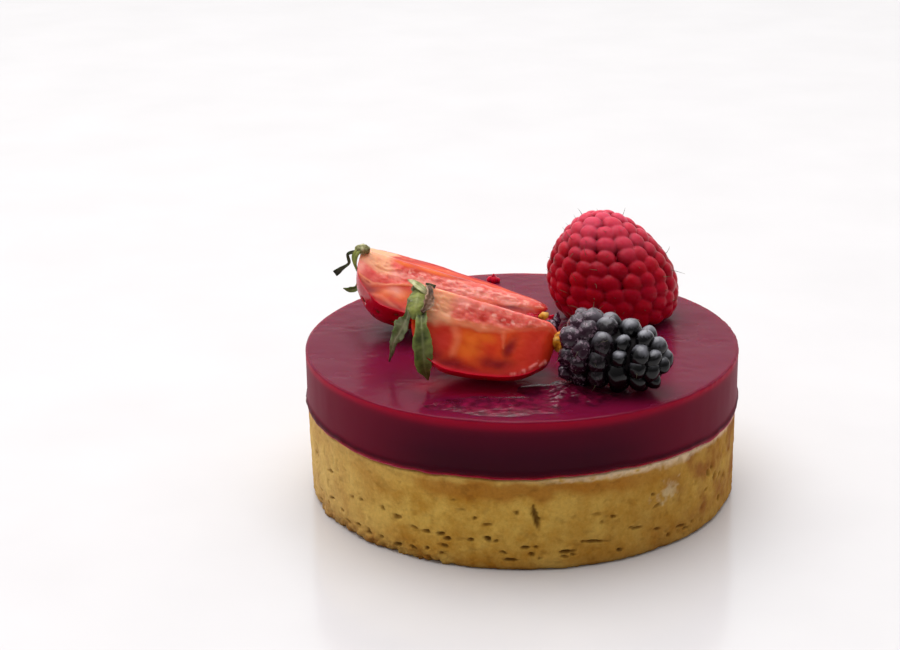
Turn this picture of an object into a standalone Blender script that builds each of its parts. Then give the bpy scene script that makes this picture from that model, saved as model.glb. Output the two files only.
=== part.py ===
"""Construction solids of a small fruit tart: a crust, a jelly disc and the fruit lying on it.

Frame: metres, +Z up, origin at the centre of the crust's flat underside, front at -Y.
The fruit is placed under an empty on the jelly's top face, so its heights start there.
"""

import math
import random

import bmesh
import bpy
import numpy as np
from mathutils import Matrix, Vector, noise

MM = 0.001
GAP = 0.3 * MM                  # left between pieces that touch

# Crust: a solid shortcrust disc with pores, a crumbled foot and an uneven lip
CRUST_RADIUS = 39.7 * MM
CRUST_SEGMENTS = 90
CRUST_SIDE_ROWS = 7
CRUST_LIP = 0.5 * MM            # slope inwards at its upper edge
CRUST_RELIEF = 0.22 * MM
CRUST_GRAIN = 4.2 * MM          # size of the lumps in its side
CRUST_FOOT_HEIGHT = 2.4 * MM
CRUST_FOOT_CRUMBLE = 0.8 * MM
PORE_COUNT = 26
PORE_DEPTH = 0.7 * MM
PORE_HALF_WIDTHS = (0.6 * MM, 1.5 * MM)
PORE_HALF_HEIGHTS = (0.4 * MM, 0.65 * MM)
CRACK_SIZE = (0.55 * MM, 1.9 * MM)            # every ninth pore is an upright crack
LOWEST_PORE = 3.2 * MM
HIGHEST_PORE = 12.7 * MM

# Joint line between crust and jelly, which rises and falls round the rim
JOINT_HEIGHT = 17.2 * MM
JOINT_WAVES = ((4, 0.26 * MM, 304), (7, 0.12 * MM, 40), (11, 0.07 * MM, 110))

# Jelly disc
JELLY_RADIUS = 40.0 * MM
JELLY_TOP = 27.9 * MM
JELLY_FOOT = 0.3 * MM           # how far its foot swells over the crust
JELLY_EDGE = 0.5 * MM           # rounding of its upper edge
JELLY_SEGMENTS = 84
JELLY_RIPPLE = 0.08 * MM
JELLY_RIPPLE_LENGTH = 9.0 * MM
CRUMB_PLACE = (-5.7 * MM, 33.9 * MM)
CRUMB_RADIUS = 1.5 * MM
CRUMB_SCALE = (1.0, 0.8, 0.8)

# Raspberry standing on its open end
RASPBERRY_BASE = (18.6 * MM, 13.0 * MM, -0.1 * MM)
RASPBERRY_APEX = (18.6 * MM, 13.0 * MM, 20.9 * MM)
RASPBERRY_LEAN = (-3.5 * MM, 0.8 * MM, 0.0)   # how far its top is pushed to the side
RASPBERRY_OUTLINE = ((0.2, 8.6), (1.6, 10.9), (4.6, 12.2), (7.8, 12.4), (10.6, 11.9),
                     (13.2, 10.8), (15.8, 9.1), (18.2, 6.6), (19.9, 3.4), (20.6, 0.0))
RASPBERRY_COLUMN_PITCH = 4.3 * MM
RASPBERRY_ROW_PITCH = 3.1 * MM
RASPBERRY_DRUPELET = (2.4 * MM, 1.95 * MM, 1.9 * MM)
RASPBERRY_TRIANGLES = 3400
RASPBERRY_SEED = 3

# Bramble lying on its side, stem end to the left
BRAMBLE_STEM = (7.3 * MM, -17.9 * MM, 8.1 * MM)
BRAMBLE_TIP = (26.0 * MM, -26.8 * MM, 6.7 * MM)
BRAMBLE_OUTLINE = ((0.4, 1.5), (0.6, 4.2), (1.6, 5.7), (4.6, 6.8), (9.0, 7.1), (13.6, 6.8),
                   (17.4, 5.6), (20.0, 3.4), (20.8, 0.0))
BRAMBLE_COLUMN_PITCH = 3.9 * MM
BRAMBLE_ROW_PITCH = 2.9 * MM
BRAMBLE_DRUPELET = (1.95 * MM, 1.75 * MM, 2.1 * MM)
BRAMBLE_TRIANGLES = 2500
BRAMBLE_SEED = 8
CORE_SEGMENTS = 20
CORE_INSET = 1.2                # depth of the core below the drupelet tips, in drupelet depths
SIZE_AT_BASE = 1.06             # drupelets shrink from base to tip
SIZE_AT_TIP = 0.92

# Strawberry pieces: shoulder and tip places, the outline as (distance, radius) in
# millimetres, and the wedge kept, in degrees from straight down towards the front
STRAWBERRY_SEGMENTS = 40
STRAWBERRY_LUMP = 0.02
KNIFE_LENGTH = 60 * MM
KNIFE_START = -8 * MM
FRONT_SHOULDER = (-17.6 * MM, -18.0 * MM, 17.0 * MM)
FRONT_TIP = (5.9 * MM, -21.5 * MM, 10.7 * MM)
FRONT_OUTLINE = ((2.6, 0.0), (0.4, 5.0), (1.4, 8.6), (5.0, 11.8), (11.0, 12.9), (17.0, 12.4),
                 (21.0, 11.2), (23.7, 8.4), (24.7, 4.4), (24.9, 0.0))
FRONT_WEDGE = (40, -54)
FRONT_RIDGE_ROUNDING = 0.6 * MM
BACK_SHOULDER = (-29.8 * MM, 6.9 * MM, 15.3 * MM)
BACK_TIP = (5.6 * MM, 5.6 * MM, 4.4 * MM)
BACK_OUTLINE = ((2.0, 0.0), (0.5, 4.2), (1.8, 7.8), (6.0, 11.4), (12.0, 11.6), (18.0, 9.9),
                (25.0, 7.4), (31.0, 4.9), (35.0, 2.6), (36.6, 0.0))
BACK_WEDGE = (60, -77)
BACK_RIDGE_ROUNDING = 3.0 * MM

# Calyxes: a round hub, and sepals as thin folded leaves
FRONT_HUB = (-18.3, -17.6, 16.3)
FRONT_HUB_SIZE = (1.4, 1.2, 1.0)
BACK_HUB = (-30.2, 6.4, 15.7)
BACK_HUB_SIZE = (1.7, 1.4, 1.2)
SEPAL_THICKNESS = 0.45 * MM
SEPAL_COLUMNS = 4
SEPAL_ROWS = 8
SEPAL_FOLD = 0.35
SEPAL_LEAST_WIDTH = 0.15 * MM


def reset_scene():
    """Remove every object and leave an empty scene."""
    for obj in list(bpy.data.objects):
        bpy.data.objects.remove(obj)


def principled(name, colour, roughness):
    """Return a plain Principled material."""
    material = bpy.data.materials.new(name)
    material.use_nodes = True
    shader = material.node_tree.nodes["Principled BSDF"]
    shader.inputs["Base Color"].default_value = (*colour, 1.0)
    shader.inputs["Roughness"].default_value = roughness
    shader.inputs["Metallic"].default_value = 0.0
    return material


def new_collection(name):
    collection = bpy.data.collections.new(name)
    bpy.context.scene.collection.children.link(collection)
    return collection


def mesh_object(name, mesh, collection):
    obj = bpy.data.objects.new(name, mesh)
    collection.objects.link(obj)
    return obj


def freeze(obj):
    """Give the object its evaluated mesh and drop its modifiers."""
    graph = bpy.context.evaluated_depsgraph_get()
    mesh = bpy.data.meshes.new_from_object(obj.evaluated_get(graph))
    obj.modifiers.clear()
    obj.data = mesh


def smooth(obj, angle=50):
    obj.data.shade_smooth()
    obj.data.set_sharp_from_angle(angle=math.radians(angle))


def place(obj, parent, location, rotation=None):
    """Put the object under its parent at a location, turned by a rotation matrix."""
    obj.parent = parent
    matrix = Matrix.Translation(location)
    if rotation is not None:
        matrix = matrix @ rotation.to_4x4()
    obj.matrix_local = matrix


def spline(points, steps):
    """Catmull-Rom curve through the points, with the given steps between each two."""
    p = np.array(points, dtype=float)
    p = np.vstack([2 * p[0] - p[1], p, 2 * p[-1] - p[-2]])
    curve = []
    for a, b, c, d in zip(p[:-3], p[1:-2], p[2:-1], p[3:]):
        for t in np.linspace(0.0, 1.0, steps, endpoint=False):
            curve.append(0.5 * (2 * b + (c - a) * t + (2 * a - 5 * b + 4 * c - d) * t ** 2
                                + (3 * b - a - 3 * c + d) * t ** 3))
    curve.append(p[-2])
    return np.array(curve)


def turned(name, outline, segments, collection):
    """Turn a (radius, height) outline about Z. The outline runs from top to bottom."""
    mesh = bpy.data.meshes.new(name)
    points = [(radius, 0.0, height) for radius, height in outline]
    edges = [(i, i + 1) for i in range(len(points) - 1)]
    mesh.from_pydata(points, edges, [])
    obj = mesh_object(name, mesh, collection)
    screw = obj.modifiers.new("Turn", "SCREW")
    screw.axis = "Z"
    screw.steps = segments
    screw.render_steps = segments
    screw.use_merge_vertices = True
    screw.merge_threshold = 0.00001
    freeze(obj)
    return obj


def boolean(obj, operation, other, solver="EXACT"):
    """Join or cut the object with another object or with a whole collection."""
    modifier = obj.modifiers.new(operation.title(), "BOOLEAN")
    modifier.operation = operation
    modifier.solver = solver
    if isinstance(other, bpy.types.Collection):
        modifier.operand_type = "COLLECTION"
        modifier.collection = other
    else:
        modifier.object = other
    freeze(obj)


def thin_out(obj, triangles):
    """Collapse edges until about the given number of triangles is left."""
    obj.data.calc_loop_triangles()
    thinner = obj.modifiers.new("Thin out", "DECIMATE")
    thinner.ratio = triangles / len(obj.data.loop_triangles)
    freeze(obj)


def drop(collection):
    """Remove a collection of used-up pieces with its objects."""
    for obj in list(collection.objects):
        bpy.data.objects.remove(obj)
    bpy.data.collections.remove(collection)


def wave(angle, terms):
    """Sum of cosines round the tart: count of crests, height, and phase in degrees."""
    return sum(height * math.cos(count * angle + math.radians(phase))
               for count, height, phase in terms)


def joint_height(x, y):
    """Height of the line where jelly and crust meet, level in the middle of the tart."""
    share = min(1.0, math.hypot(x, y) / CRUST_RADIUS) ** 4
    return JOINT_HEIGHT + share * wave(math.atan2(y, x), JOINT_WAVES)


def make_crust(collection, cutters):
    """Turned disc whose side is roughened, crumbled at the foot and bored with pores."""
    top = JOINT_HEIGHT - GAP / 2
    outline = [(0.0, top), (0.72 * CRUST_RADIUS, top), (CRUST_RADIUS - CRUST_LIP, top)]
    for height in np.linspace(top - 0.8 * CRUST_LIP, CRUST_FOOT_HEIGHT, CRUST_SIDE_ROWS):
        outline.append((CRUST_RADIUS, height))
    outline += [(CRUST_RADIUS - 0.1 * MM, 1.0 * MM), (CRUST_RADIUS - 0.6 * MM, 0.0), (0.0, 0.0)]
    crust = turned("crust", outline, CRUST_SEGMENTS, collection)

    for vertex in crust.data.vertices:
        x, y, z = vertex.co
        radius = math.hypot(x, y)
        if z > 0.0:
            vertex.co.z += (joint_height(x, y) - JOINT_HEIGHT) * z / top
        if radius < 0.8 * CRUST_RADIUS:
            continue
        point = Vector((x, y, 1.4 * z)) / CRUST_GRAIN
        push = CRUST_RELIEF * (noise.noise(point) + 0.5 * noise.noise(point * 2.3))
        foot = max(0.0, 1.0 - z / CRUST_FOOT_HEIGHT)
        crumble = CRUST_FOOT_CRUMBLE * foot * max(0.0, noise.noise(point * 1.7) + 0.1)
        factor = (radius + push - crumble) / radius
        vertex.co.x *= factor
        vertex.co.y *= factor

    cut_pores(crust, cutters)
    smooth(crust)
    return crust


def cut_pores(crust, cutters):
    """Sink small flattened pits in the side, most of them in its lower half."""
    rng = random.Random(11)
    for index in range(PORE_COUNT):
        angle = 2 * math.pi * (index + rng.uniform(-0.3, 0.3)) / PORE_COUNT
        height = LOWEST_PORE + (HIGHEST_PORE - LOWEST_PORE) * rng.random() ** 1.8
        width = rng.uniform(*PORE_HALF_WIDTHS)
        tall = rng.uniform(*PORE_HALF_HEIGHTS)
        if index % 9 == 4:
            width, tall = CRACK_SIZE
        bpy.ops.mesh.primitive_ico_sphere_add(subdivisions=1, radius=1.0)
        pit = bpy.context.object
        pit.name = f"pore_{index:02d}"
        pit.scale = (PORE_DEPTH, width, tall)
        pit.rotation_euler = (rng.uniform(-0.4, 0.4), 0.0, angle)
        pit.location = (CRUST_RADIUS * math.cos(angle), CRUST_RADIUS * math.sin(angle), height)
        pit.hide_render = True
        pit.display_type = "WIRE"
        for owner in list(pit.users_collection):
            owner.objects.unlink(pit)
        cutters.objects.link(pit)
    boolean(crust, "DIFFERENCE", cutters)


def make_jelly(collection):
    """Turned disc with a swollen foot, a rounded upper edge and a crumb stuck to its top."""
    bottom = JOINT_HEIGHT + GAP / 2
    arc = np.linspace(math.pi / 2, 0.0, 4)
    outline = [(0.0, JELLY_TOP)]
    outline += [(share * JELLY_RADIUS, JELLY_TOP) for share in (0.4, 0.7, 0.9)]
    outline += [(JELLY_RADIUS - JELLY_EDGE * (1 - math.cos(a)),
                 JELLY_TOP - JELLY_EDGE * (1 - math.sin(a))) for a in arc]
    outline += [(JELLY_RADIUS, bottom + 1.4 * MM), (JELLY_RADIUS + JELLY_FOOT, bottom + 0.7 * MM),
                (JELLY_RADIUS + 0.6 * JELLY_FOOT, bottom), (0.6 * JELLY_RADIUS, bottom),
                (0.0, bottom)]
    jelly = turned("jelly", outline, JELLY_SEGMENTS, collection)

    height = JELLY_TOP - bottom
    for vertex in jelly.data.vertices:
        x, y, z = vertex.co
        low = (JELLY_TOP - z) / height
        vertex.co.z += low * (joint_height(x, y) - JOINT_HEIGHT)
        if z > JELLY_TOP - 0.01 * MM:
            point = Vector((x, y, 0.0)) / JELLY_RIPPLE_LENGTH
            vertex.co.z -= JELLY_RIPPLE * (0.5 + 0.5 * noise.noise(point))

    bpy.ops.mesh.primitive_ico_sphere_add(subdivisions=2, radius=CRUMB_RADIUS)
    crumb = bpy.context.object
    crumb.location = (*CRUMB_PLACE, JELLY_TOP + 0.4 * CRUMB_RADIUS)
    crumb.scale = CRUMB_SCALE
    boolean(jelly, "UNION", crumb)
    bpy.data.objects.remove(crumb)
    smooth(jelly)
    return jelly


def aim(start, end):
    """Rotation that turns +Z to run from start to end, with +X as near to up as can be."""
    axis = (Vector(end) - Vector(start)).normalized()
    up = Vector((0.0, 0.0, 1.0)) - axis * axis.z
    if up.length < 0.5:
        up = Vector((0.0, 1.0, 0.0)) - axis * axis.y
    up.normalize()
    side = axis.cross(up)
    return Matrix((up, side, axis)).transposed()


def drupelet_sites(outline, row_pitch, column_pitch, rng):
    """Rows of places on a turned outline of (distance, radius) millimetre pairs.

    A row i lies at arc length (i + 1/2) * row_pitch and holds 2 pi r / column_pitch
    drupelets, turned by half a step from the row before. Gives the place, the outward
    normal, the direction along the outline and the row's share of the whole length.
    """
    curve = spline(outline, 8) * MM
    steps = np.linalg.norm(np.diff(curve, axis=0), axis=1)
    length = np.concatenate([[0.0], np.cumsum(steps)])
    rows = int(round(length[-1] / row_pitch))
    for i in range(rows):
        at = (i + 0.5) * length[-1] / rows
        along, radius = (np.interp(at, length, curve[:, k]) for k in (0, 1))
        ahead = [np.interp(at + 0.1 * MM, length, curve[:, k]) for k in (0, 1)]
        slope = Vector((ahead[1] - radius, 0.0, ahead[0] - along)).normalized()
        count = max(1, int(round(2 * math.pi * radius / column_pitch)))
        for j in range(count):
            turn = 2 * math.pi * (j + 0.5 * (i % 2) + rng.uniform(-0.12, 0.12)) / count
            spin = Matrix.Rotation(turn, 3, "Z")
            spot = spin @ Vector((radius, 0.0, along))
            normal = spin @ Vector((slope.z, 0.0, -slope.x))
            yield spot, normal, spin @ slope, at / length[-1]


def make_berry(name, collection, parent, ends, outline, pitches, drupelet, triangles, seed,
               lean=(0.0, 0.0, 0.0)):
    """Core with drupelets fused on in rows. Its own Z axis runs from base to apex.

    The lean pushes every point sideways in proportion to its distance from the base.
    """
    base, apex = ends
    row_pitch, column_pitch = pitches
    across, along, deep = drupelet
    rng = random.Random(seed)
    core_outline = [(max(0.0, radius - CORE_INSET * deep), distance)
                    for distance, radius in reversed(spline(outline, 2) * MM)]
    core_outline[0] = (0.0, core_outline[0][1] - deep)
    core_outline[-1] = (core_outline[-1][0], core_outline[-1][1] + 0.4 * deep)
    core_outline.append((0.0, core_outline[-1][1]))
    berry = turned(name, core_outline, CORE_SEGMENTS, collection)

    pieces = new_collection(name + "_drupelets")
    bpy.ops.mesh.primitive_ico_sphere_add(subdivisions=2, radius=1.0)
    pattern = bpy.context.object
    for spot, normal, slope, share in drupelet_sites(outline, row_pitch, column_pitch, rng):
        size = rng.uniform(0.93, 1.05) * (SIZE_AT_BASE + (SIZE_AT_TIP - SIZE_AT_BASE) * share)
        piece = mesh_object("drupelet", pattern.data, pieces)
        side = slope.cross(normal)
        basis = Matrix((side, slope, normal)).transposed().to_4x4()
        scale = Matrix.Diagonal((across * size, along * size, deep * size, 1.0))
        piece.matrix_world = Matrix.Translation(spot - normal * deep * size) @ basis @ scale
    bpy.data.objects.remove(pattern)
    boolean(berry, "UNION", pieces)
    drop(pieces)
    thin_out(berry, triangles)
    smooth(berry, 75)
    turn = aim(base, apex)
    shear = turn.transposed() @ Vector(lean) / (Vector(apex) - Vector(base)).length
    for vertex in berry.data.vertices:
        vertex.co += shear * vertex.co.z
    place(berry, parent, base, turn)
    return berry


def wedge_cutter(name, wedge, rounding, length, reach, cutters):
    """Prism along Z that keeps the wedge of a turned berry, its ridge rounded.

    The wedge is two angles in degrees from straight down, local -X, the front being +Y.
    """
    half = math.radians(abs(wedge[0] - wedge[1])) / 2
    middle = math.pi - math.radians(wedge[0] + wedge[1]) / 2
    far = 1.25 * reach / math.cos(half)
    setback = rounding / math.sin(half) - rounding
    points = [(far * math.cos(half), -far * math.sin(half)),
              (far * math.cos(half), far * math.sin(half))]
    for turn in np.linspace(math.pi / 2 - half, half - math.pi / 2, 5):
        across = rounding * math.sin(turn)
        inward = rounding / math.sin(half) - rounding * math.cos(turn) - setback
        points.append((inward, across))
    curve = bpy.data.curves.new(name, "CURVE")
    curve.dimensions = "2D"
    curve.fill_mode = "BOTH"
    curve.extrude = length / 2
    line = curve.splines.new("POLY")
    line.points.add(len(points) - 1)
    for slot, (x, y) in zip(line.points, points):
        slot.co = (x, y, 0.0, 1.0)
    line.use_cyclic_u = True
    outline = mesh_object(name, curve, cutters)
    outline.matrix_world = (Matrix.Translation((0.0, 0.0, length / 2 + KNIFE_START))
                            @ Matrix.Rotation(middle, 4, "Z"))
    bpy.context.view_layer.update()
    graph = bpy.context.evaluated_depsgraph_get()
    mesh = bpy.data.meshes.new_from_object(outline.evaluated_get(graph))
    cage = bmesh.new()
    cage.from_mesh(mesh)
    bmesh.ops.remove_doubles(cage, verts=cage.verts, dist=0.00001)
    bmesh.ops.recalc_face_normals(cage, faces=cage.faces)
    cage.to_mesh(mesh)
    cage.free()
    cutter = mesh_object(name, mesh, cutters)
    cutter.matrix_world = outline.matrix_world
    cutter.hide_render = True
    cutter.display_type = "WIRE"
    bpy.data.objects.remove(outline)
    bpy.context.view_layer.update()
    return cutter


def make_strawberry(name, collection, cutters, parent, shoulder, tip, outline, wedge, rounding):
    """Turned berry cut down to a wedge by two planes that meet in a ridge on its axis."""
    curve = spline(outline, 2) * MM
    profile = [(max(0.0, radius), distance) for distance, radius in reversed(curve)]
    berry = turned(name, profile, STRAWBERRY_SEGMENTS, collection)
    for vertex in berry.data.vertices:
        lump = 1.0 + STRAWBERRY_LUMP * noise.noise(vertex.co / (7.0 * MM))
        vertex.co.x *= lump
        vertex.co.y *= lump
    reach = max(radius for radius, distance in profile)
    cutter = wedge_cutter(name + "_knife", wedge, rounding, KNIFE_LENGTH, reach, cutters)
    boolean(berry, "INTERSECT", cutter)
    smooth(berry, 40)
    place(berry, parent, shoulder, aim(shoulder, tip))
    return berry


def make_sepal(name, path, half_widths, facing, pieces):
    """Thin leaf along a path of millimetre points, folded along its midrib.

    At share v of its length it is 2 w(v) wide, with w read from half_widths, and its
    surface at share u of the half width is raised by SEPAL_FOLD w |u|.
    """
    bpy.ops.mesh.primitive_grid_add(x_subdivisions=SEPAL_COLUMNS, y_subdivisions=SEPAL_ROWS,
                                    size=2.0)
    leaf = bpy.context.object
    leaf.name = name
    curve = spline(path, 8) * MM
    shares = np.linspace(0.0, 1.0, len(curve))
    widths = spline([(w, 0.0) for w in half_widths], 8)[:, 0] * MM
    width_shares = np.linspace(0.0, 1.0, len(widths))
    for vertex in leaf.data.vertices:
        u, v = vertex.co.x, 0.5 + 0.5 * vertex.co.y
        centre = Vector([np.interp(v, shares, curve[:, k]) for k in range(3)])
        ahead = Vector([np.interp(v + 0.02, shares, curve[:, k]) for k in range(3)])
        behind = Vector([np.interp(v - 0.02, shares, curve[:, k]) for k in range(3)])
        along = (ahead - behind).normalized()
        side = along.cross(Vector(facing)).normalized()
        normal = side.cross(along)
        width = max(SEPAL_LEAST_WIDTH, np.interp(v, width_shares, widths))
        vertex.co = centre + side * u * width + normal * SEPAL_FOLD * abs(u) * width
    cage = bmesh.new()
    cage.from_mesh(leaf.data)
    bmesh.ops.triangulate(cage, faces=cage.faces)
    cage.to_mesh(leaf.data)
    cage.free()
    thick = leaf.modifiers.new("Thickness", "SOLIDIFY")
    thick.thickness = SEPAL_THICKNESS
    thick.offset = 0.0
    freeze(leaf)
    for owner in list(leaf.users_collection):
        owner.objects.unlink(leaf)
    pieces.objects.link(leaf)
    return leaf


def make_calyx(name, collection, parent, hub, hub_size, sepals):
    """Small round hub with its sepals fused on. Sepal paths share the parent's frame."""
    bpy.ops.mesh.primitive_uv_sphere_add(segments=12, ring_count=7, radius=1.0)
    calyx = bpy.context.object
    calyx.name = name
    for owner in list(calyx.users_collection):
        owner.objects.unlink(calyx)
    collection.objects.link(calyx)
    for vertex in calyx.data.vertices:
        vertex.co = Vector(hub) * MM + Vector([c * s * MM for c, s in zip(vertex.co, hub_size)])
    pieces = new_collection(name + "_sepals")
    for index, (path, half_widths, facing) in enumerate(sepals):
        make_sepal(f"{name}_sepal_{index}", path, half_widths, facing, pieces)
    boolean(calyx, "UNION", pieces)
    drop(pieces)
    smooth(calyx, 60)
    place(calyx, parent, (0.0, 0.0, 0.0))
    return calyx


FRONT_SEPALS = (
    # hanging down the cut face to the jelly
    (((-18.8, -18.3, 16.0), (-19.5, -22.0, 13.4), (-18.3, -26.2, 10.0), (-17.2, -26.6, 6.0),
      (-16.4, -23.4, 1.0)), (1.5, 1.3, 1.9, 2.0, 0.2), (0.0, -1.0, 0.25)),
    # leaning out to the left
    (((-18.9, -17.6, 15.8), (-20.2, -19.4, 12.0), (-21.6, -17.6, 7.4), (-23.3, -15.0, 3.4),
      (-23.9, -13.6, 0.7)), (1.4, 1.3, 1.5, 0.9, 0.2), (-0.3, -1.0, 0.2)),
    # pale one lying over the hub
    (((-17.0, -17.4, 16.2), (-18.8, -17.2, 17.2), (-20.6, -16.8, 17.7)),
     (1.0, 1.2, 0.3), (0.0, -0.4, 1.0)),
    # short dried one pointing to the tip
    (((-17.8, -17.4, 16.6), (-16.2, -17.0, 17.1), (-14.9, -16.6, 17.1)),
     (0.8, 0.5, 0.2), (0.0, -0.2, 1.0)),
)

BACK_SEPALS = (
    # curled one with a broad dry end
    (((-30.2, 6.6, 15.2), (-32.2, 6.2, 15.4), (-33.3, 6.0, 14.4), (-33.5, 5.8, 13.0),
      (-35.0, 5.5, 11.9), (-36.2, 5.2, 11.2)), (0.7, 0.35, 0.3, 0.35, 0.6, 0.8),
     (0.2, -1.0, 0.5)),
    # lying down the shoulder
    (((-30.6, 6.2, 15.2), (-31.7, 5.7, 13.4), (-31.8, 5.5, 11.2)),
     (0.8, 0.45, 0.15), (-0.6, -1.0, 0.2)),
    # showing behind the shoulder
    (((-30.2, 6.8, 15.5), (-30.9, 12.0, 12.6), (-31.2, 15.0, 8.0), (-32.6, 15.8, 5.6),
      (-34.6, 16.0, 4.9)), (0.6, 0.6, 0.7, 0.7, 0.15), (-0.4, -1.0, 0.4)),
)

COLOURS = {
    "crust": ((0.48, 0.26, 0.08), 0.75),
    "jelly": ((0.14, 0.004, 0.012), 0.12),
    "raspberry": ((0.50, 0.015, 0.03), 0.35),
    "bramble": ((0.010, 0.008, 0.012), 0.25),
    "strawberry_front": ((0.62, 0.07, 0.03), 0.30),
    "strawberry_back": ((0.62, 0.09, 0.05), 0.30),
    "calyx_front": ((0.16, 0.22, 0.05), 0.60),
    "calyx_back": ((0.10, 0.12, 0.04), 0.65),
}


def main():
    reset_scene()
    tart = new_collection("watermelon_tart")
    cutters = new_collection("cutters")
    pores = bpy.data.collections.new("pores")
    cutters.children.link(pores)
    jelly_top = bpy.data.objects.new("jelly_top", None)
    jelly_top.location = (0.0, 0.0, JELLY_TOP)
    tart.objects.link(jelly_top)

    make_crust(tart, pores)
    make_jelly(tart)
    make_berry("raspberry", tart, jelly_top, (RASPBERRY_BASE, RASPBERRY_APEX),
               RASPBERRY_OUTLINE, (RASPBERRY_ROW_PITCH, RASPBERRY_COLUMN_PITCH),
               RASPBERRY_DRUPELET, RASPBERRY_TRIANGLES, RASPBERRY_SEED, RASPBERRY_LEAN)
    make_berry("bramble", tart, jelly_top, (BRAMBLE_STEM, BRAMBLE_TIP),
               BRAMBLE_OUTLINE, (BRAMBLE_ROW_PITCH, BRAMBLE_COLUMN_PITCH),
               BRAMBLE_DRUPELET, BRAMBLE_TRIANGLES, BRAMBLE_SEED)
    make_strawberry("strawberry_front", tart, cutters, jelly_top, FRONT_SHOULDER, FRONT_TIP,
                    FRONT_OUTLINE, FRONT_WEDGE, FRONT_RIDGE_ROUNDING)
    make_strawberry("strawberry_back", tart, cutters, jelly_top, BACK_SHOULDER, BACK_TIP,
                    BACK_OUTLINE, BACK_WEDGE, BACK_RIDGE_ROUNDING)
    make_calyx("calyx_front", tart, jelly_top, FRONT_HUB, FRONT_HUB_SIZE, FRONT_SEPALS)
    make_calyx("calyx_back", tart, jelly_top, BACK_HUB, BACK_HUB_SIZE, BACK_SEPALS)
    for name, (colour, roughness) in COLOURS.items():
        data = bpy.data.objects[name].data
        data.materials.clear()
        data.materials.append(principled(name, colour, roughness))


main()
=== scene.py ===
"""Looks of a small fruit jelly tart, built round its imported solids.

A shortcrust disc carries a dark red jelly. On it lie a raspberry, a bramble and two cut
strawberry pieces with their leaves. Metres, +Z up, front at -Y. The file follows the tart
from the table up, and each section holds one piece with its sizes, shape and material.
"""

import math
import random

import bpy
import numpy as np
from mathutils import Matrix, Vector


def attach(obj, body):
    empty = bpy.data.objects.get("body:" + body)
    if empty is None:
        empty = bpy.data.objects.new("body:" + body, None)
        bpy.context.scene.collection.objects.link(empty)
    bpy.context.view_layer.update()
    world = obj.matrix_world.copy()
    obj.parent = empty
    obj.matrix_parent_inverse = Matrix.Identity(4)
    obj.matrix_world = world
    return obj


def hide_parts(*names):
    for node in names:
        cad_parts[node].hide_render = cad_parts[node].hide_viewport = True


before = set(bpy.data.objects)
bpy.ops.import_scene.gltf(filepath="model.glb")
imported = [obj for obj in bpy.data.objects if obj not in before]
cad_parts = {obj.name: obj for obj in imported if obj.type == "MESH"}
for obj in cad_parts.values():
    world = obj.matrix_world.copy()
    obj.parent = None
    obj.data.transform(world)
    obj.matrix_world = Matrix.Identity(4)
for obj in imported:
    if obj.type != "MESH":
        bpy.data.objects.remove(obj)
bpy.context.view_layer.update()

MM = 0.001

# --- Table, light and camera -----------------------------------------------------------------
# The tart stands on a plain white table top, under a broad soft light. The walls behind and
# beside it are bright, and the side that the camera is on is dim.
CAMERA_PLACE = Vector((0.0, -0.34905, 0.15559))
CAMERA_RIGHT = Vector((0.99936229, 0.03210417, -0.01563121))
CAMERA_UP = Vector((0.00390606, 0.3368424, 0.94155294))
CAMERA_LENS = 80.0
CAMERA_SENSOR = 36.0
WALL_LIGHT = 1.0
MIRRORED_LIGHT = 0.6
BRIGHT_SIDE = (-0.12, 0.95, 0.28)
WINDOW_SIZE = 1.1
WINDOW_PLACE = (-0.15, 0.22, 1.0)
WINDOW_POWER = 11.0
TABLE_SIZE = 3.0


def linear(code):
    """Linear colour with alpha from an sRGB hex code."""
    srgb = np.array([int(code[i:i + 2], 16) for i in (0, 2, 4)]) / 255
    bright = np.where(srgb <= 0.04045, srgb / 12.92, ((srgb + 0.055) / 1.055) ** 2.4)
    return (*bright, 1.0)


def add(tree, kind, inputs=None, stops=None, **settings):
    """Add a shader node. Inputs are linked where they are sockets, and otherwise set."""
    made = tree.nodes.new("ShaderNode" + kind)
    for name, value in settings.items():
        setattr(made, name, value)
    for socket, value in (inputs or {}).items():
        if isinstance(value, bpy.types.NodeSocket):
            tree.links.new(value, made.inputs[socket])
        else:
            made.inputs[socket].default_value = value
    for index, (place, colour) in enumerate(stops or ()):
        ramp = made.color_ramp
        stop = ramp.elements[index] if index < 2 else ramp.elements.new(place)
        stop.position = place
        stop.color = linear(colour) if isinstance(colour, str) else (colour,) * 3 + (1.0,)
    return made


def finish_material(name, sockets):
    """Principled material with the given single values on its sockets."""
    material = bpy.data.materials.new(name)
    material.use_nodes = True
    shader = material.node_tree.nodes["Principled BSDF"]
    for socket, value in sockets.items():
        shader.inputs[socket].default_value = value
    return material, material.node_tree, shader


def grained(tree, per_metre, stops, detail=2.0, roughness=0.5):
    """A noise on Object coordinates with so many grains to the metre, and its colours."""
    place = add(tree, "TexCoord").outputs["Object"]
    grain = add(tree, "TexNoise", {"Vector": place, "Scale": per_metre, "Detail": detail,
                                   "Roughness": roughness})
    return grain, add(tree, "ValToRGB", {"Fac": grain.outputs["Fac"]}, stops).outputs["Color"]


def surface(tree, shader, colour, grain=None, strength=0.0, depth=0.0):
    """Give a shader its colour and, from a noise, a bump of a depth in metres."""
    tree.links.new(colour, shader.inputs["Base Color"])
    if grain:
        bump = add(tree, "Bump", {"Height": grain.outputs["Fac"], "Strength": strength,
                                  "Distance": depth})
        tree.links.new(bump.outputs["Normal"], shader.inputs["Normal"])


def plain_material(name, sockets, per_metre, detail, stops, *bump):
    """Material whose one noise drives its colours and, if given, a bump (strength, depth)."""
    material, tree, shader = finish_material(name, sockets)
    grain, colour = grained(tree, per_metre, stops, detail)
    surface(tree, shader, colour, grain if bump else None, *bump)
    return material


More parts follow.
